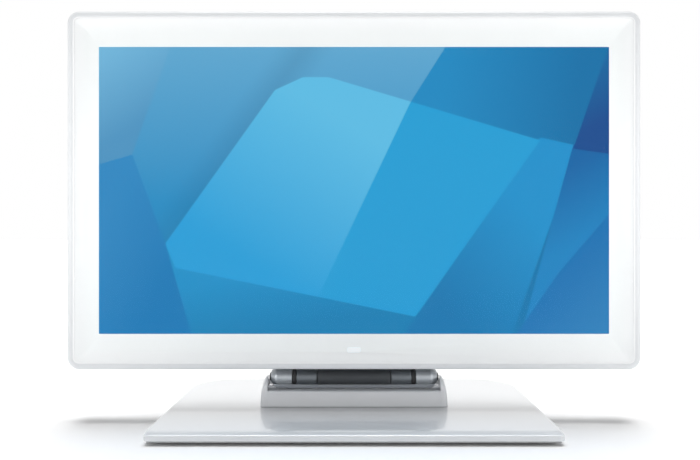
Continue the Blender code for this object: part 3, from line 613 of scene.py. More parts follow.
def side_of(g, start, end, blur=0.4 * MM):
    """1 on the right-hand side of the line from start to end, and 0 on its left."""
    direction, offset = across(start, end)
    return g.ramp(g.dot(direction), offset - blur, offset + blur, smooth=True)


def linear(colour):
    """A screen colour from 0 to 255 as the light that it stands for."""
    return tuple(((c / 255) + 0.055) ** 2.4 / 1.055 ** 2.4 for c in colour)


def fade(g, start, end, first, last):
    """A colour that changes from one point to another, and stays the same across that line."""
    x0, z0 = spot(*start)
    x1, z1 = spot(*end)
    along = Vector((x1 - x0, 0.0, z1 - z0))
    reach = along.length
    along.normalize()
    offset = along.x * x0 + along.z * z0
    return g.mix(g.ramp(g.dot(along), offset, offset + reach), linear(first), linear(last))


def facet(g, below, edges, cover):
    """Lays one colour field over another inside a convex shape, whose edges run clockwise."""
    inside = None
    for start, end in zip(edges, edges[1:]):
        edge = side_of(g, start, end)
        inside = edge if inside is None else g.maths("MULTIPLY", inside, edge)
    return g.mix(inside, below, cover)


def fold(g, below, start, end, reach, depth):
    """A soft dark fold along a line."""
    direction, offset = across(start, end)
    value = g.dot(direction)
    rising = g.ramp(value, offset - reach, offset)
    falling = g.ramp(value, offset, offset + reach, 1.0, 0.0)
    amount = g.maths("MULTIPLY", g.maths("MULTIPLY", rising, falling), depth)
    return g.mix(amount, below, (0.0, 0.02, 0.08))


def wallpaper(g):
    """Overlapping facets of flat blue, from the back one to the front one, with a painted sheen of reflected light
    over those left of the sheen line.
    """
    picture = facet(g, fade(g, *BACKDROP_FADE_UNDER_SHEEN), TOP_LEFT, fade(g, *TOP_LEFT_FADE_UNDER_SHEEN))
    picture = fold(g, picture, SHEET[0], SHEET[1], 17 * MM, 0.16)
    for edges, tones in FACETS:
        picture = facet(g, picture, edges, fade(g, *tones))
    sheet = facet(g, fade(g, *SHEET_FADE_UNDER_SHEEN), PAINTED_SHEEN_EDGE, fade(g, *SHEET_FADE_PAST_SHEEN))
    return facet(g, picture, SHEET, sheet)


def screen_material():
    """The lit panel: the picture is its own light, with a painted reflection in it, under the faint sparkle of a
    matt film.
    """
    g = Graph("screen", (0.004, 0.005, 0.006), 0.45)
    sparkle = g.maths("MULTIPLY", g.noise(0.35 * MM, 2.0), 0.05)
    g.drive("Emission Color", g.mix(sparkle, wallpaper(g), (0.0, 0.0, 0.0)))
    g.gloss(g.noise(18 * MM, 3.0), 0.3, 0.7, 0.40, 0.52)
    g.set("Emission Strength", 1.0)
    g.set("Specular IOR Level", 0.0)
    return g.material


def clear_glass():
    """Coated cover glass: clear, with a weak mirror that is duller where fingers have been."""
    g = Graph("cover_glass", (1.0, 1.0, 1.0), 0.03)
    clear = g.add("ShaderNodeBsdfTransparent")
    clear.inputs["Color"].default_value = (0.995, 1.0, 0.998, 1.0)
    mirror = g.add("ShaderNodeBsdfGlossy")
    g.plug(g.ramp(g.noise(24 * MM, 4.0), 0.4, 0.75, 0.03, 0.09), mirror.inputs["Roughness"])
    slant = g.add("ShaderNodeLayerWeight").outputs["Facing"]
    grazing = g.maths("MULTIPLY", g.maths("POWER", slant, 5.0), 0.6)
    both = g.add("ShaderNodeMixShader")
    g.plug(g.maths("ADD", grazing, 0.003), both.inputs[0])
    g.tree.links.new(clear.outputs[0], both.inputs[1])
    g.tree.links.new(mirror.outputs[0], both.inputs[2])
    g.tree.links.new(both.outputs[0], g.tree.nodes["Material Output"].inputs["Surface"])
    g.tree.nodes.remove(g.shader)
    return g.material


# ---- display head ----


def front_glass():
    front, back = GLASS_LOW.y, GLASS_HIGH.y
    section = [(0.9 * MM, front), (0.35 * MM, front + 0.12 * MM), (0.0, front + 0.5 * MM)]
    section += [(0.0, back - 0.2 * MM), (0.2 * MM, back)]
    layers = [(head_outline(GLASS_INSET + inset), y) for inset, y in section]
    piece("cover_glass", stack(layers, "Y"), clear_glass(), "head", ["front_glass"])


def border_print():
    """The white print behind the glass, round the lit area. It rises to the ground edge."""
    g = Graph("border_print", (0.86, 0.865, 0.87), 0.30)
    slow = g.noise(60 * MM, 2.0)
    fine = g.noise(0.3 * MM, 2.0)
    g.tone(slow, (0.895, 0.900, 0.905), (0.915, 0.920, 0.925))
    g.gloss(fine, 0.2, 0.8, 0.26, 0.36)
    g.set("Coat Weight", 0.4)
    g.set("Coat Roughness", 0.05)
    outer = head_outline(GLASS_INSET + 0.2 * MM)
    edge = head_outline(GLASS_INSET + 0.45 * MM)
    sloped = head_outline(GLASS_INSET + 7.0 * MM)
    inner = rounded((0.0, HEAD_MIDDLE_Z), ACTIVE_WIDTH, ACTIVE_HEIGHT, 0.6 * MM)
    front = GLASS_HIGH.y + 0.08 * MM
    back = GLASS_HIGH.y + 0.2 * MM
    layers = [(outer, GLASS_LOW.y + 0.35 * MM), (outer, back), (inner, back), (inner, front)]
    layers += [(sloped, front), (edge, GLASS_LOW.y + 0.17 * MM)]
    made = piece("border_print", stack(layers, "Y", closed=True), g.material, "head")
    window = (0.0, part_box("status_light")[0].z + 2.3 * MM)
    reach = (front - 1 * MM, back + 1 * MM)
    carve(made, slot(window, (9.0 * MM, 3.6 * MM), 1.0 * MM, reach, "Y", None, 6))


def glass_seal():
    """The pale bead of sealant that fills the groove between the glass and the rim."""
    g = Graph("seal", (0.88, 0.885, 0.89), 0.5)
    g.tone(g.noise(5 * MM, 3.0), (0.87, 0.875, 0.88), (0.90, 0.905, 0.91))
    g.gloss(g.noise(2 * MM), 0.3, 0.7, 0.42, 0.6)
    front = GLASS_LOW.y + 0.02 * MM
    buried = -GAP - 0.4 * MM
    touching = -0.02 * MM
    section = [(touching - GAP, GLASS_HIGH.y), (buried, front + 0.5 * MM), (buried, front)]
    section += [(0.0, front + 0.05 * MM), (0.42 * MM, front), (0.30 * MM, front + 0.12 * MM)]
    section += [(touching, front + 0.5 * MM), (touching, GLASS_HIGH.y)]
    layers = [(head_outline(GLASS_INSET + inset), y) for inset, y in section]
    piece("glass_seal", stack(layers, "Y", closed=True), g.material, "head")


def lcd_panel():
    low, high = PANEL_LOW, PANEL_HIGH
    centre = (0.0, (low.z + high.z) / 2)
    outline = rounded(centre, high.x - low.x, high.z - low.z, 0.8 * MM, 4)
    small = rounded(centre, high.x - low.x - 0.6 * MM, high.z - low.z - 0.6 * MM, 0.6 * MM, 4)
    layers = [(small, low.y), (outline, low.y + 0.3 * MM), (outline, high.y)]
    piece("lit_panel", stack(layers, "Y"), screen_material(), "head", ["lcd_panel"])


def front_frame():
    """The housing ring, with a soft rim round the glass."""
    front = HEAD_LOW.y
    back = HEAD_HIGH.y
    rim = GLASS_INSET - GAP
    ledge_front = GLASS_HIGH.y + 1.1 * MM
    ledge_back = ledge_front + 3.2 * MM
    section = [(rim, ledge_front), (rim, front + 0.45 * MM), (rim - 0.25 * MM, front + 0.1 * MM)]
    section += [(rim - 0.7 * MM, front)]
    section += rim_curve(front, 2.4 * MM, 3.0 * MM)
    section += [(inset, back - fall) for inset, fall in PARTING_EDGE]
    section += [(WALL, back), (WALL, ledge_back), (LEDGE_INSET, ledge_back), (LEDGE_INSET, ledge_front)]
    layers = [(head_outline(inset), y) for inset, y in section]
    mesh = stack(layers, "Y", closed=True)
    made = piece("housing_frame", mesh, WHITE_HOUSING, "head",
                 ["front_frame"])
    carve(made, frame_openings(ledge_front, ledge_back))


def rim_curve(front, depth, width):
    """A quarter of an ellipse from the front face round to the side wall."""
    angles = [math.radians(90 - 90 * step / 8) for step in range(9)]
    return [(width * (1 - math.cos(a)), front + depth * (1 - math.sin(a))) for a in angles]


def frame_openings(ledge_front, ledge_back):
    """Holes for the buttons, both rows of speaker slots, and the light guide's way out."""
    mesh = bmesh.new()
    wall = (HEAD_LOW.z - 2 * MM, HEAD_LOW.z + WALL + 1 * MM)
    for name in BUTTONS:
        slot(middle(*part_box(name)), (8.0 * MM, 4.2 * MM), 1.9 * MM, wall, "Z", mesh, 6)
    for side in (-1, 1):
        for number in range(12):
            centre = (side * (124 + SPEAKER_PITCH * number) * MM, -18.5 * MM)
            slot(centre, (1.8 * MM, 5.0 * MM), 0.9 * MM, wall, "Z", mesh)
    low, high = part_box("status_light")
    ledge = (ledge_front - 1 * MM, ledge_back + 1 * MM)
    slot((0.0, (low.z + high.z) / 2), (10.6 * MM, 5.2 * MM), 1.5 * MM, ledge, "Y", mesh, 4)
    return mesh


def box_outline(inset):
    """The raised box of the rear cover."""
    middle_z = (BOX_LOW + BOX_HIGH) / 2
    radius = 10.0 * MM - inset * 0.7
    return rounded((0.0, middle_z), BOX_WIDTH - 2 * inset, BOX_HIGH - BOX_LOW - 2 * inset, radius)


def round_edge(outline, radius, y, taper=0.0):
    """A cover's rounded edge, from its back face at y forwards to its side wall."""
    return [(outline(taper + inset), y - fall) for inset, fall in reversed(rounding(radius))]


def rear_cover():
    """The slim shell and the raised box over the electronics, both with rounded edges."""
    front, back = COVER_LOW.y, COVER_HIGH.y
    fillet = 1.2 * MM
    layers = round_edge(box_outline, 2.4 * MM, back, 1.0 * MM)
    for angle in (90, 60, 30, 0):
        turn = math.radians(angle)
        inset = fillet * (math.sin(turn) - 1) + 0.2 * MM
        layers.append((box_outline(inset), SLIM_BACK + fillet * (1 - math.cos(turn))))
    layers += round_edge(head_outline, 4.0 * MM, SLIM_BACK)
    layers += [(head_outline(inset), front + fall) for inset, fall in PARTING_EDGE]
    inner_slim = SLIM_BACK - WALL
    layers += [(head_outline(WALL), front), (head_outline(WALL), inner_slim - 2 * MM)]
    layers += [(head_outline(WALL + 4 * MM), inner_slim), (box_outline(WALL), inner_slim)]
    layers += [(box_outline(WALL + 1 * MM), back - WALL)]
    made = piece("rear_shell", stack(layers, "Y"), REAR_HOUSING, "head",
                 ["rear_cover"])
    holes = bores(PATTERN_SCREWS, CLEAR_HOLE, (0.0, 12 * MM), "Y")
    bores(COVER_SCREWS, COVER_HOLE, (-14 * MM, -4 * MM), "Y", holes, 24)
    carve(made, vent_slots(back), port_mouths(), holes)


def vent_slots(back):
    """The CAD cover's slots, with round ends: a top row, two side blocks and the fan's outlet."""
    mesh = bmesh.new()
    through = (back - 5 * MM, back + 3 * MM)
    end = SLOT_WIDTH / 2
    for number in range(25):
        centre = ((-108 + SLOT_PITCH * number) * MM, 210 * MM)
        slot(centre, (SLOT_WIDTH, 12 * MM), end, through, "Y", mesh)
    for side in (-1, 1):
        for row in range(2):
            for number in range(7):
                centre = (side * (63 + SLOT_PITCH * number) * MM, (146 + 22 * row) * MM)
                slot(centre, (SLOT_WIDTH, 16 * MM), end, through, "Y", mesh)
    upwards = (BOX_HIGH - 6 * MM, BOX_HIGH + 4 * MM)
    for number in range(6):
        centre = ((70 + SLOT_PITCH * number) * MM, -0.25 * MM)
        slot(centre, (SLOT_WIDTH, 6.5 * MM), 1.2 * MM, upwards, "Z", mesh)
    return mesh


def port_mouths():
    mesh = bmesh.new()
    for name in PORTS:
        low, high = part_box(name)
        size = (high.x - low.x + 2 * GAP, high.y - low.y + 2 * GAP)
        slot(middle(low, high), size, 0.8 * MM, (BOX_LOW - 4 * MM, BOX_LOW + 6 * MM), "Z", mesh, 4)
    return mesh


# ---- stand ----


def base_outline(inset):
    size = BASE_HIGH - BASE_LOW
    front = max(BASE_RADII[0] - inset, 0.5 * MM)
    rear = BASE_RADII[1] - inset
    corners = [front, rear, rear, front]
    return rounded((0.0, 0.0), size.x - 2 * inset, size.y - 2 * inset, corners, 20)


def base_cover():
    """The glossy plate: a soft edge all round, and a front band that slopes down to a thin lip."""
    low, high = BASE_LOW.z, BASE_HIGH.z
    edge = 1.1 * MM
    size = BASE_HIGH - BASE_LOW
    radii = [3 * MM, 30 * MM, 30 * MM, 3 * MM]
    hollow = rounded((0.0, 3.0 * MM), size.x - 8 * MM, size.y - 14 * MM, radii, 20)
    layers = [(hollow, low + 3.2 * MM), (hollow, low), (base_outline(0.6 * MM), low)]
    layers += [(base_outline(0.15 * MM), low + 0.2 * MM), (base_outline(0.0), low + 0.6 * MM)]
    layers += [(base_outline(inset), high - fall) for inset, fall in rounding(edge)]
    mesh = stack(layers, "Z")
    crease = BASE_LOW.y + 11.0 * MM
    everything = mesh.verts[:] + mesh.edges[:] + mesh.faces[:]
    bmesh.ops.bisect_plane(mesh, geom=everything, plane_co=(0, crease, 0), plane_no=(0, 1, 0))
    drop = 1.4 / 11.0
    for vertex in mesh.verts:
        on_top = vertex.co.z > high - edge - 0.1 * MM
        if on_top and vertex.co.y < crease:
            vertex.co.z -= (crease - vertex.co.y) * drop
    made = piece("base_shell", mesh, WHITE_BASE, "stand", ["base_cover"])
    carve(made, bores(STAND_SCREWS, CLEAR_HOLE, (0.0, 12 * MM), "Z"), angle=30)


def saddle_outline(foot, steps):
    """The pedestal's section under the barrel: a low front wall, the groove and a sloping back."""
    radius = 8.3 * MM + GAP
    lip = 19.0 * MM
    back = 24.0 * MM
    start = -90 - math.degrees(math.acos((BARREL_AXIS[1] - lip) / radius))
    end = -math.degrees(math.asin((BARREL_AXIS[1] - back) / radius))
    front = [(-17.5 * MM, foot), (-16.9 * MM, 14.0 * MM)]
    front += arc((-15.2 * MM, lip - 1.4 * MM), 1.4 * MM, 175, 92, 5)
    tail = [(4.5 * MM, back), (8.0 * MM, 23.0 * MM), (16.0 * MM, 17.9 * MM), (24.0 * MM, 12.0 * MM)]
    return front + arc(BARREL_AXIS, radius, start, end, steps) + tail + [(27.0 * MM, foot)]


def pedestal():
    """The saddle under the barrel, with a domed shoulder at each end."""
    foot = PEDESTAL_LOW.z
    half = 60.0 * MM
    reach = half + 0.5 * MM
    mesh = slab(saddle_outline(foot, 24), -reach, reach, "X")
    made = piece("pedestal_body", mesh, PEDESTAL_SHADED_WHITE, "stand", ["pedestal"])
    shoulder = [(-17.5 * MM, foot), (-17.0 * MM, 17.0 * MM)]
    shoulder += arc((HINGE[1], 23.5 * MM), 9.7 * MM, 175, 5, 24)
    shoulder += [(8.0 * MM, 21.5 * MM), (24.0 * MM, 12.0 * MM), (27.0 * MM, foot)]
    for side in (-1, 1):
        layers = []
        for step in range(13):
            turn = math.radians(90 * step / 12)
            out = 5.0 * MM * math.sin(turn)
            height = 0.14 + 0.66 * math.cos(turn) ** 0.8
            depth = 0.79 + 0.21 * math.cos(turn)
            outline = [(HINGE[1] + (y - HINGE[1]) * depth, foot + (z - foot) * height)
                       for y, z in shoulder]
            layers.append((outline, side * (half + out)))
        join(made, stack(layers, "X"))
        join(made, cradle_rest(side, half))
    carve(made, bores(STAND_SCREWS, CLEAR_HOLE, (4 * MM, 18 * MM), "Z"), angle=50)


def cradle_rest(side, end):
    """The slanted end of the pedestal's groove, under the slanted end of the cradle."""
    band = arc(BARREL_AXIS, 8.9 * MM, -138, -42, 32) + arc(BARREL_AXIS, 7.9 * MM, -42, -138, 32)
    mesh = slab(band, 0.0, side * (end + 0.2 * MM), "X")
    low = CRADLE_LOW.z - 1 * MM
    for vertex in mesh.verts:
        if abs(vertex.co.x) < 1 * MM:
            vertex.co.x = side * (CRADLE_HIGH.x - 4.5 * MM + (vertex.co.z - low) * 7 / 6)
    return mesh


# ---- barrel hinge ----


def barrel(name, profile, sign, material, body, node):
    """One piece of the barrel, bored for the pin, whose profile runs outwards from the middle."""
    mesh = turned(in_mm(profile, sign), "X", BARREL_AXIS, PIN_BORE)
    return piece(name, mesh, material, body, [node])


# Each profile is (distance from the middle, radius), in millimetres.
COVER_PROFILE = ((-25.6, 6.6), (-25.4, 7.0), (-25.0, 7.2), (25.0, 7.2), (25.4, 7.0), (25.6, 6.6))
SLEEVE_PROFILE = (
    (25.9, 6.7), (26.05, 7.0), (26.4, 7.25), (26.8, 7.3),
    (39.3, 7.3), (39.7, 7.25), (40.05, 7.0), (40.2, 6.7),
)
WASHER_PROFILE = ((40.5, 6.3), (40.6, 6.6), (42.8, 6.6), (42.9, 6.3))
KNUCKLE_PROFILE = (
    (43.2, 6.6), (43.35, 7.0), (43.8, 7.3), (53.2, 7.3), (54.2, 7.1),
    (55.2, 6.6), (57.6, 4.7), (58.0, 4.3), (58.2, 3.9),
)
PIN_TIP = ((-59.3, 1.9), (-59.15, 2.4), (-58.7, 2.9), (-58.3, 3.0))


def hinge():
    """The barrel, each of its knuckles with the leaf that carries the head, and the pin."""
    for side, sign, screw in (("left", -1, LEAF_SCREWS[0]), ("right", 1, LEAF_SCREWS[1])):
        barrel(f"sleeve_{side}", SLEEVE_PROFILE, sign, HINGE_GREY, "stand",
               f"hinge_sleeve_{side}")
        barrel(f"washer_{side}", WASHER_PROFILE, sign, BLACK_PLASTIC, "stand",
               f"friction_washer_{side}")
        made = barrel(f"knuckle_{side}", KNUCKLE_PROFILE, sign, KNUCKLE_GREY, "head",
                      f"hinge_knuckle_{side}")
        corners = [0.5 * MM, 3 * MM, 3 * MM, 0.5 * MM]
        leaf = rounded((screw[0], 45.65 * MM), 10.2 * MM, 26.7 * MM, corners, 6)
        join(made, slab(leaf, -7.5 * MM, -5.1 * MM, "Y"))
        carve(made, bores([screw], LEAF_HOLE, (-12 * MM, 0.0), "Y"))
    barrel("center_cover", COVER_PROFILE, 1, HINGE_DARK, "stand", "hinge_center_cover")
    pin = in_mm(PIN_TIP)
    pin += [(-x, radius) for x, radius in reversed(pin)]
    piece("pin", turned(pin, "X", BARREL_AXIS), HINGE_DARK, "stand", ["hinge_pin"])


def cradle():
    """The half shell under the barrel, with slanted ends."""
    outline = arc(BARREL_AXIS, 8.3 * MM, -146, -34, 32) + arc(BARREL_AXIS, 7.6 * MM, -34, -146, 32)
    half = CRADLE_HIGH.x
    mesh = slab(outline, -half, half, "X")
    made = piece("barrel_cradle", mesh, CRADLE_GREY, "stand", ["hinge_cradle"])
    low = CRADLE_LOW.z - 1 * MM
    corners = []
    for side in (-1, 1):
        end = side * (half + 2 * MM)
        inside = side * (half - 5 * MM)
        corner = [(inside, low), (end, low), (end, low + 6 * MM)][::side]
        corners.append(slab(corner, -20 * MM, 5 * MM, "Y"))
    carve(made, *corners)


# ---- bracket and screws ----


def bend(before, corner, after, radius, steps=6):
    """Points that round a path's corner."""
    corner = Vector(corner)
    first = (Vector(before) - corner).normalized()
    second = (Vector(after) - corner).normalized()
    half = first.angle(second) / 2
    reach = radius / math.tan(half)
    a = corner + first * reach
    b = corner + second * reach
    points = []
    for step in range(steps + 1):
        t = step / steps
        points.append(tuple(a * (1 - t) ** 2 + corner * 2 * t * (1 - t) + b * t ** 2))
    return points


def offset_band(path, half):
    """The outline of a band of constant width along a path."""
    sides = ([], [])
    for i in range(len(path)):
        before = Vector(path[max(i - 1, 0)])
        after = Vector(path[min(i + 1, len(path) - 1)])
        direction = (after - before).normalized()
        normal = Vector((-direction.y, direction.x))
        sides[0].append(tuple(Vector(path[i]) - normal * half))
        sides[1].append(tuple(Vector(path[i]) + normal * half))
    return sides[0] + sides[1][::-1]


def tilt_bracket():
    """A bent plate: flat against the head's back, and stepped forwards to the hinge's leaves."""
    half_thickness = 1.5 * MM
    pad_y = BRACKET_HIGH.y - half_thickness
    leg_y = BRACKET_LOW.y + half_thickness
    top = (pad_y, BRACKET_HIGH.z)
    upper = (pad_y, 79.4 * MM)
    lower = (leg_y, 63.4 * MM)
    end = (leg_y, BRACKET_LOW.z)
    path = [top] + bend(top, upper, lower, 4 * MM) + bend(upper, lower, end, 4 * MM) + [end]
    mesh = slab(offset_band(path, half_thickness), BRACKET_LOW.x, BRACKET_HIGH.x, "X")
    made = piece("bracket", mesh, BRACKET_PAINT, "head", ["tilt_bracket"])
    combine(made, slab(bracket_outline(), -30 * MM, 30 * MM, "Y"), "INTERSECT")
    soften(made, 0.5 * MM, 3)
    made.modifiers.clear()
    holes = bores(PATTERN_SCREWS, CLEAR_HOLE, (0.0, 20 * MM), "Y")
    carve(made, bores(LEAF_SCREWS, LEAF_HOLE, (-12 * MM, 0.0), "Y", holes))


def bracket_outline():
    """The bracket from behind: two legs with a window between them, under a broad plate."""
    right = arc((38, 56), 4, 90, 0, 6) + [(42, 38.5), (54.5, 38.5)]
    right += arc((51.5, 78), 3, 0, 45, 4) + arc((48, 101), 3, 215, 180, 3) + arc((41, 196), 4, 0, 90, 6)
    return in_mm(right + [(-x, z) for x, z in reversed(right)])


SHANK_RADIUS = {"bracket": 2.0 * MM, "leaf": 1.5 * MM, "cover": 1.2 * MM}


def pan_screw(node):
    """A pan-head screw along Y with a cross recess, in the place of its CAD node."""
    low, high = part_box(node)
    centre = middle(low, high, "xz")
    radius = (high.x - low.x) / 2
    shank = SHANK_RADIUS[node.split("_")[0]]
    seat = high.y - 1.6 * MM
    profile = [(low.y, shank * 0.8), (low.y + 0.4 * MM, shank), (seat, shank)]
    profile += [(seat, radius - 0.1 * MM)]
    profile += [(seat + 0.15 * MM, radius), (seat + 0.7 * MM, radius)]
    crown = [(high.y - 0.9 * MM * (1 - math.sin(a)), radius * math.cos(a) ** 0.5)
             for a in (math.radians(10 * step) for step in range(1, 9))]
    mesh = turned(profile + crown, "Y", centre, steps=40)
    made = piece("visible_" + node, mesh, SCREW_STEEL, "head", [node])
    carve(made, *cross_recess(centre, radius, high.y - 1.1 * MM, high.y + 1.0 * MM, "Y"))


# ---- underside, controls and connectors ----

SHELL_WALL = 0.4 * MM
SHELL_END = 2.4 * MM


def base_plate():
    low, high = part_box("base_bottom_plate")
    inset = low.x - BASE_LOW.x
    layers = [(base_outline(inset + 0.3 * MM), low.z), (base_outline(inset), low.z + 0.25 * MM)]
    layers += [(base_outline(inset), high.z)]
    made = piece("bottom_plate", stack(layers, "Z"), DARK_PAINT, "stand",
                 ["base_bottom_plate"])
    carve(made, bores(STAND_SCREWS, CLEAR_HOLE, (0.0, 4 * MM), "Z"))


def feet():
    """Rubber discs with a rounded edge, and a shallow ring moulded into each sole."""
    for end in ("front", "rear"):
        for side in ("left", "right"):
            node = f"foot_{end}_{side}"
            low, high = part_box(node)
            radius = (high.x - low.x) / 2
            ring = low.z + 0.25 * MM
            profile = [(low.z, radius * 0.1), (low.z, radius * 0.52), (ring, radius * 0.55)]
            profile += [(ring, radius * 0.65), (low.z, radius * 0.68), (low.z, radius - 0.5 * MM)]
            profile += [(low.z + 0.15 * MM, radius - 0.15 * MM), (low.z + 0.5 * MM, radius)]
            profile += [(high.z, radius)]
            mesh = turned(profile, "Z", middle(low, high))
            piece(f"sole_{end}_{side}", mesh, RUBBER, "stand", [node])


def stand_screw(node):
    """A flat-topped screw along Z, driven from below."""
    low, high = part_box(node)
    centre = middle(low, high)
    radius = (high.x - low.x) / 2
    seat = low.z + 1.0 * MM
    profile = [(low.z, radius * 0.5), (low.z + 0.08 * MM, radius * 0.8)]
    profile += [(low.z + 0.3 * MM, radius * 0.96), (low.z + 0.6 * MM, radius), (seat, radius)]
    profile += [(seat, 2.0 * MM), (high.z - 0.5 * MM, 2.0 * MM), (high.z, 1.5 * MM)]
    mesh = turned(profile, "Z", centre, steps=40)
    made = piece("visible_" + node, mesh, SCREW_STEEL, "stand", [node])
    carve(made, *cross_recess(centre, radius, low.z - 1 * MM, low.z + 0.7 * MM, "Z"))


def buttons():
    """Domed caps on the underside, each with a sunk sign that shows what it does."""
    for name in BUTTONS:
        low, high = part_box(name)
        centre = middle(low, high)
        wall = HEAD_LOW.z + WALL + GAP
        edge = reversed(rounding(0.35 * MM, 4))
        layers = [(cap(centre, inset), low.z + fall) for inset, fall in edge]
        flange = cap(centre, -1.0 * MM)
        layers += [(cap(centre, 0.0), wall), (flange, wall), (flange, high.z)]
        material = DARK_CAP if name == "power_button" else PALE_CAP
        made = piece("cap_" + name, stack(layers, "Z"), material, name, [name])
        carve(made, button_sign(name, centre, low.z))


def cap(centre, inset):
    return rounded(centre, 7.4 * MM - 2 * inset, 3.6 * MM - 2 * inset, 1.6 * MM - inset, 10)


def button_sign(name, centre, face):
    """A generic sign, 0.15 mm deep: a ring and bar, three lines, a minus or a plus."""
    mesh = bmesh.new()
    low = face - 1 * MM
    high = face + 0.15 * MM

    def bar(x, y, half_x, half_y):
        block((centre[0] + x - half_x, centre[1] + y - half_y, low),
              (centre[0] + x + half_x, centre[1] + y + half_y, high), mesh)

    if name == "power_button":
        path = arc(centre, 0.95 * MM, -50, 230, 24)
        slab(offset_band(path, 0.11 * MM), low, high, "Z", mesh)
        bar(0.0, -0.85 * MM, 0.11 * MM, 0.5 * MM)
    elif name == "menu_button":
        for y in (-0.7, 0.0, 0.7):
            bar(0.0, y * MM, 0.9 * MM, 0.12 * MM)
    elif name == "minus_button":
        bar(0.0, 0.0, 0.9 * MM, 0.13 * MM)
    else:
        plus = [(0.13, -0.9), (0.13, -0.13), (0.9, -0.13), (0.9, 0.13), (0.13, 0.13), (0.13, 0.9)]
        plus += [(-x, -y) for x, y in plus]
        slab([(centre[0] + x * MM, centre[1] + y * MM) for x, y in plus], low, high, "Z", mesh)
    return mesh


def connectors():
    """A drawn metal shell and a tongue with plated contacts in each port, and the power inlet."""
    for node in PORTS:
        low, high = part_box(node)
        centre = middle(low, high)
        size = (high.x - low.x, high.y - low.y)
        if node == "dc_jack":
            power_inlet(node, low, high, centre, size)
        else:
            metal_shell(node, low, high, centre, size)
            tongue(node, low, high, centre, size)


def metal_shell(node, low, high, centre, size):
    """A thin shell, rolled over at its mouth and closed at its far end."""

    def shell(inset):
        radius = max(0.5 * MM - inset, 0.15 * MM)
        return rounded(centre, size[0] - 2 * inset, size[1] - 2 * inset, radius, 5)

    layers = [(shell(SHELL_WALL), high.z - SHELL_END), (shell(SHELL_WALL), low.z + 0.3 * MM)]
    layers += [(shell(SHELL_WALL * 0.6), low.z + 0.05 * MM), (shell(SHELL_WALL * 0.3), low.z)]
    layers += [(shell(0.0), low.z + 0.2 * MM), (shell(0.0), high.z)]
    piece("shell_" + node, stack(layers, "Z"), SHELL_METAL, "head", [node])


def tongue(node, low, high, centre, size):
    """The insulating block in a port, with a row of contacts on its front face."""
    deep = high.z - SHELL_END
    if node == "ethernet_port":
        contacts, pitch, half = 8, 1.02 * MM, 5.6 * MM
        face, back, mouth = high.y - 2.4 * MM, high.y - SHELL_WALL, low.z + 1.2 * MM
    else:
        contacts, pitch, half = 5, 1.7 * MM, size[0] / 2 - 1.6 * MM
        face, back, mouth = centre[1] - 0.7 * MM, centre[1] + 0.7 * MM, low.z + 0.9 * MM
    inside = BLUE_PLASTIC if node.startswith("usb") else BLACK_PLASTIC
    mesh = block((centre[0] - half, face, mouth), (centre[0] + half, back, deep))
    soften(piece("tongue_" + node, mesh, inside, "head"), 0.12 * MM, 2)
    strips = bmesh.new()
    for number in range(contacts):
        x = centre[0] + pitch * (number - (contacts - 1) / 2)
        near = (x - pitch * 0.3, face - 0.06 * MM, mouth + 0.2 * MM)
        block(near, (x + pitch * 0.3, face + 0.05 * MM, deep), strips)
    piece("contacts_" + node, strips, GOLD, "head")


def power_inlet(node, low, high, centre, size):
    """A plastic block with a round mouth and a centre pin."""
    outer = rounded(centre, *size, 0.8 * MM, 6)
    mouth = [circle(centre, radius, len(outer)) for radius in (3.6 * MM, 3.2 * MM)]
    turn = len(outer) * 3 // 8
    mouth = [ring[-turn:] + ring[:-turn] for ring in mouth]
    layers = [(mouth[1], low.z + 9 * MM), (mouth[1], low.z + 0.6 * MM), (mouth[0], low.z)]
    layers += [(outer, low.z), (outer, high.z)]
    piece("inlet_" + node, stack(layers, "Z"), BLACK_PLASTIC, "head", [node])
    pin = [(low.z + 1.2 * MM, 0.5 * MM), (low.z + 1.5 * MM, 0.9 * MM), (low.z + 1.9 * MM, 1.0 * MM)]
    pin += [(low.z + 9.5 * MM, 1.0 * MM)]
    piece("inlet_pin", turned(pin, "Z", centre, steps=32), GOLD, "head")


def status_window():
    """The frosted end of the light guide, with a faint standby glow."""
    g = Graph("status_window", (0.90, 0.93, 0.95), 0.35)
    mottle = g.noise(1.2 * MM, 3.0)
    g.tone(mottle, (0.86, 0.89, 0.92), (0.93, 0.95, 0.97))
    g.gloss(mottle, 0.3, 0.7, 0.28, 0.45)
    g.drive("Emission Color", g.mix(mottle, (0.90, 0.94, 1.0), (0.96, 0.98, 1.0)))
    g.set("Emission Strength", 0.12)
    low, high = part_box("status_light")
    centre = (0.0, (low.z + high.z) / 2)

    def outline(inset):
        size = (high.x - low.x - 2 * inset, high.z - low.z - 2 * inset)
        return rounded(centre, *size, 1.2 * MM - inset, 8)

    layers = [(outline(inset), low.y + fall) for inset, fall in reversed(rounding(0.3 * MM, 4))]
    layers += [(outline(0.0), high.y)]
    piece("status_lens", stack(layers, "Y"), g.material, "head", ["status_light"])


# ---- finishes of the CAD nodes that stay ----


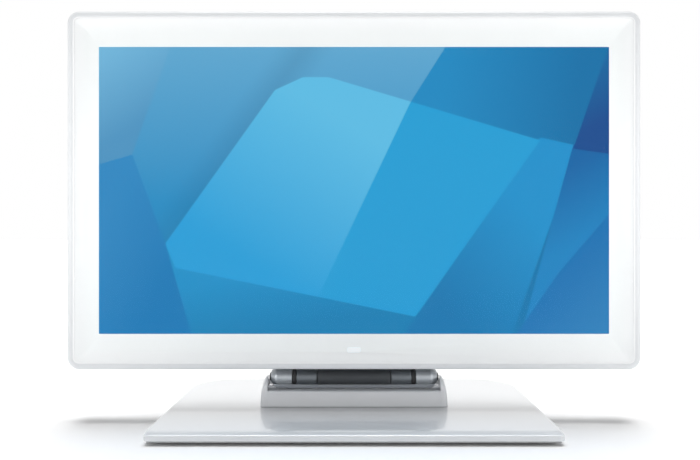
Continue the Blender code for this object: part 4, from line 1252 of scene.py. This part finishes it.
def circuit_board():
    """Green solder mask over copper: patches of parallel tracks, and tinned pads in rows."""
    g = Graph("circuit_board", (0.012, 0.10, 0.045), 0.38)
    choice = g.patches(11 * MM, distance="CHEBYCHEV")
    upright = g.ramp(g.wave("X", 0.9 * MM), 0.55, 0.62)
    level = g.ramp(g.wave("Z", 0.9 * MM), 0.55, 0.62)
    turned_patch = g.ramp(choice[0], 0.49, 0.51)
    straight_patch = g.maths("SUBTRACT", 1.0, turned_patch)
    tracks = g.maths("ADD", g.maths("MULTIPLY", upright, turned_patch),
                     g.maths("MULTIPLY", level, straight_patch))
    shown = g.maths("MULTIPLY", tracks, g.ramp(choice[1], 0.35, 0.37))
    mask = g.mix(g.noise(20 * MM, 2.0), (0.010, 0.085, 0.038), (0.014, 0.115, 0.052))
    green = g.mix(g.maths("MULTIPLY", shown, 0.6), mask, (0.035, 0.22, 0.10))
    dots = g.cells(2.4 * MM)
    pads = g.maths("MULTIPLY", g.ramp(dots, 0.16, 0.13), g.ramp(choice[2], 0.7, 0.72))
    g.tone(pads, green, (0.62, 0.63, 0.62))
    g.gloss(pads, 0.0, 1.0, 0.38, 0.25)
    g.bump(g.maths("ADD", shown, pads), 0.03 * MM)
    return g.material


def chip_package():
    g = Graph("chip", (0.02, 0.02, 0.022), 0.5)
    fine = g.noise(0.12 * MM, 2.0)
    g.tone(fine, (0.016, 0.016, 0.018), (0.034, 0.034, 0.037))
    g.gloss(g.noise(3 * MM), 0.3, 0.7, 0.42, 0.6)
    g.bump(fine, 0.01 * MM)
    return g.material


def zinc_plate():
    """Zinc-coated sheet: flat crystal patches, each a little lighter or duller than the next."""
    g = Graph("zinc_plate", (0.55, 0.56, 0.57), 0.38, 1.0)
    crystals = g.patches(7 * MM)
    g.tone(crystals[0], (0.46, 0.47, 0.49), (0.64, 0.65, 0.66))
    g.gloss(crystals[1], 0.0, 1.0, 0.28, 0.46)
    g.bump(g.noise(0.3 * MM, 3.0), 0.006 * MM)
    return g.material


def foam_strip():
    g = Graph("foam", (0.04, 0.04, 0.042), 0.95)
    bubbles = g.cells(0.45 * MM)
    g.tone(bubbles, (0.02, 0.02, 0.021), (0.06, 0.06, 0.062))
    g.gloss(bubbles, 0.0, 1.0, 0.85, 1.0)
    g.bump(bubbles, 0.12 * MM)
    return g.material


def light_spreader():
    g = Graph("diffuser", (0.88, 0.88, 0.86), 0.6)
    dots = g.cells(0.8 * MM)
    g.tone(g.ramp(dots, 0.25, 0.35), (0.94, 0.94, 0.93), (0.84, 0.84, 0.82))
    g.gloss(dots, 0.1, 0.6, 0.45, 0.7)
    g.bump(dots, 0.02 * MM)
    return g.material


def carried_over():
    """CAD nodes whose shape is right keep it, with a finish for each of the record's slots."""
    finishes = {
        "circuit_board": circuit_board(),
        "chip": chip_package(),
        "steel": zinc_plate(),
        "foam": foam_strip(),
        "diffuser": light_spreader(),
        "copper": brushed_metal("copper_pipe", (0.72, 0.36, 0.22), 0.32, "X"),
        "aluminium": brushed_metal("fin_stock", (0.72, 0.73, 0.74), 0.34, "Z"),
        "black_plastic": BLACK_PLASTIC,
    }
    slots = {part["node"]: part["material_slot"] for part in frame["record"]["subparts"]}
    for name in frame["nodes"]:
        if name in REPLACED:
            continue
        materials = frame["nodes"][name].data.materials
        materials.clear()
        materials.append(finishes[slots[name]])


FLOOR_SIDE = 60.0
FLOOR_CORNER = 8.0


def floor():
    """White paper, with the faint tooth of its surface."""
    g = Graph("floor", (0.96, 0.96, 0.96), 0.9)
    tooth = g.noise(1.5 * MM, 3.0)
    g.tone(tooth, (0.955, 0.955, 0.955), (0.965, 0.965, 0.965))
    g.gloss(tooth, 0.3, 0.7, 0.85, 0.95)
    g.set("Specular IOR Level", 0.0)
    mesh = slab(rounded((0.0, 0.0), FLOOR_SIDE, FLOOR_SIDE, FLOOR_CORNER, 8), -0.02, 0.0, "Z")
    data = mesh_data("floor", mesh)
    data.materials.append(g.material)
    show("floor", data)


def main():
    camera()
    studio()
    head = (front_glass, glass_seal, border_print, lcd_panel, front_frame, rear_cover)
    stand = (base_cover, base_plate, feet, pedestal, hinge, cradle, tilt_bracket)
    for build in head + stand + (buttons, connectors, status_window):
        build()
    for name in frame["nodes"]:
        if name.startswith(("bracket_screw", "leaf_screw", "cover_screw")):
            pan_screw(name)
        if name.startswith("pedestal_screw"):
            stand_screw(name)
    carried_over()
    floor()


main()
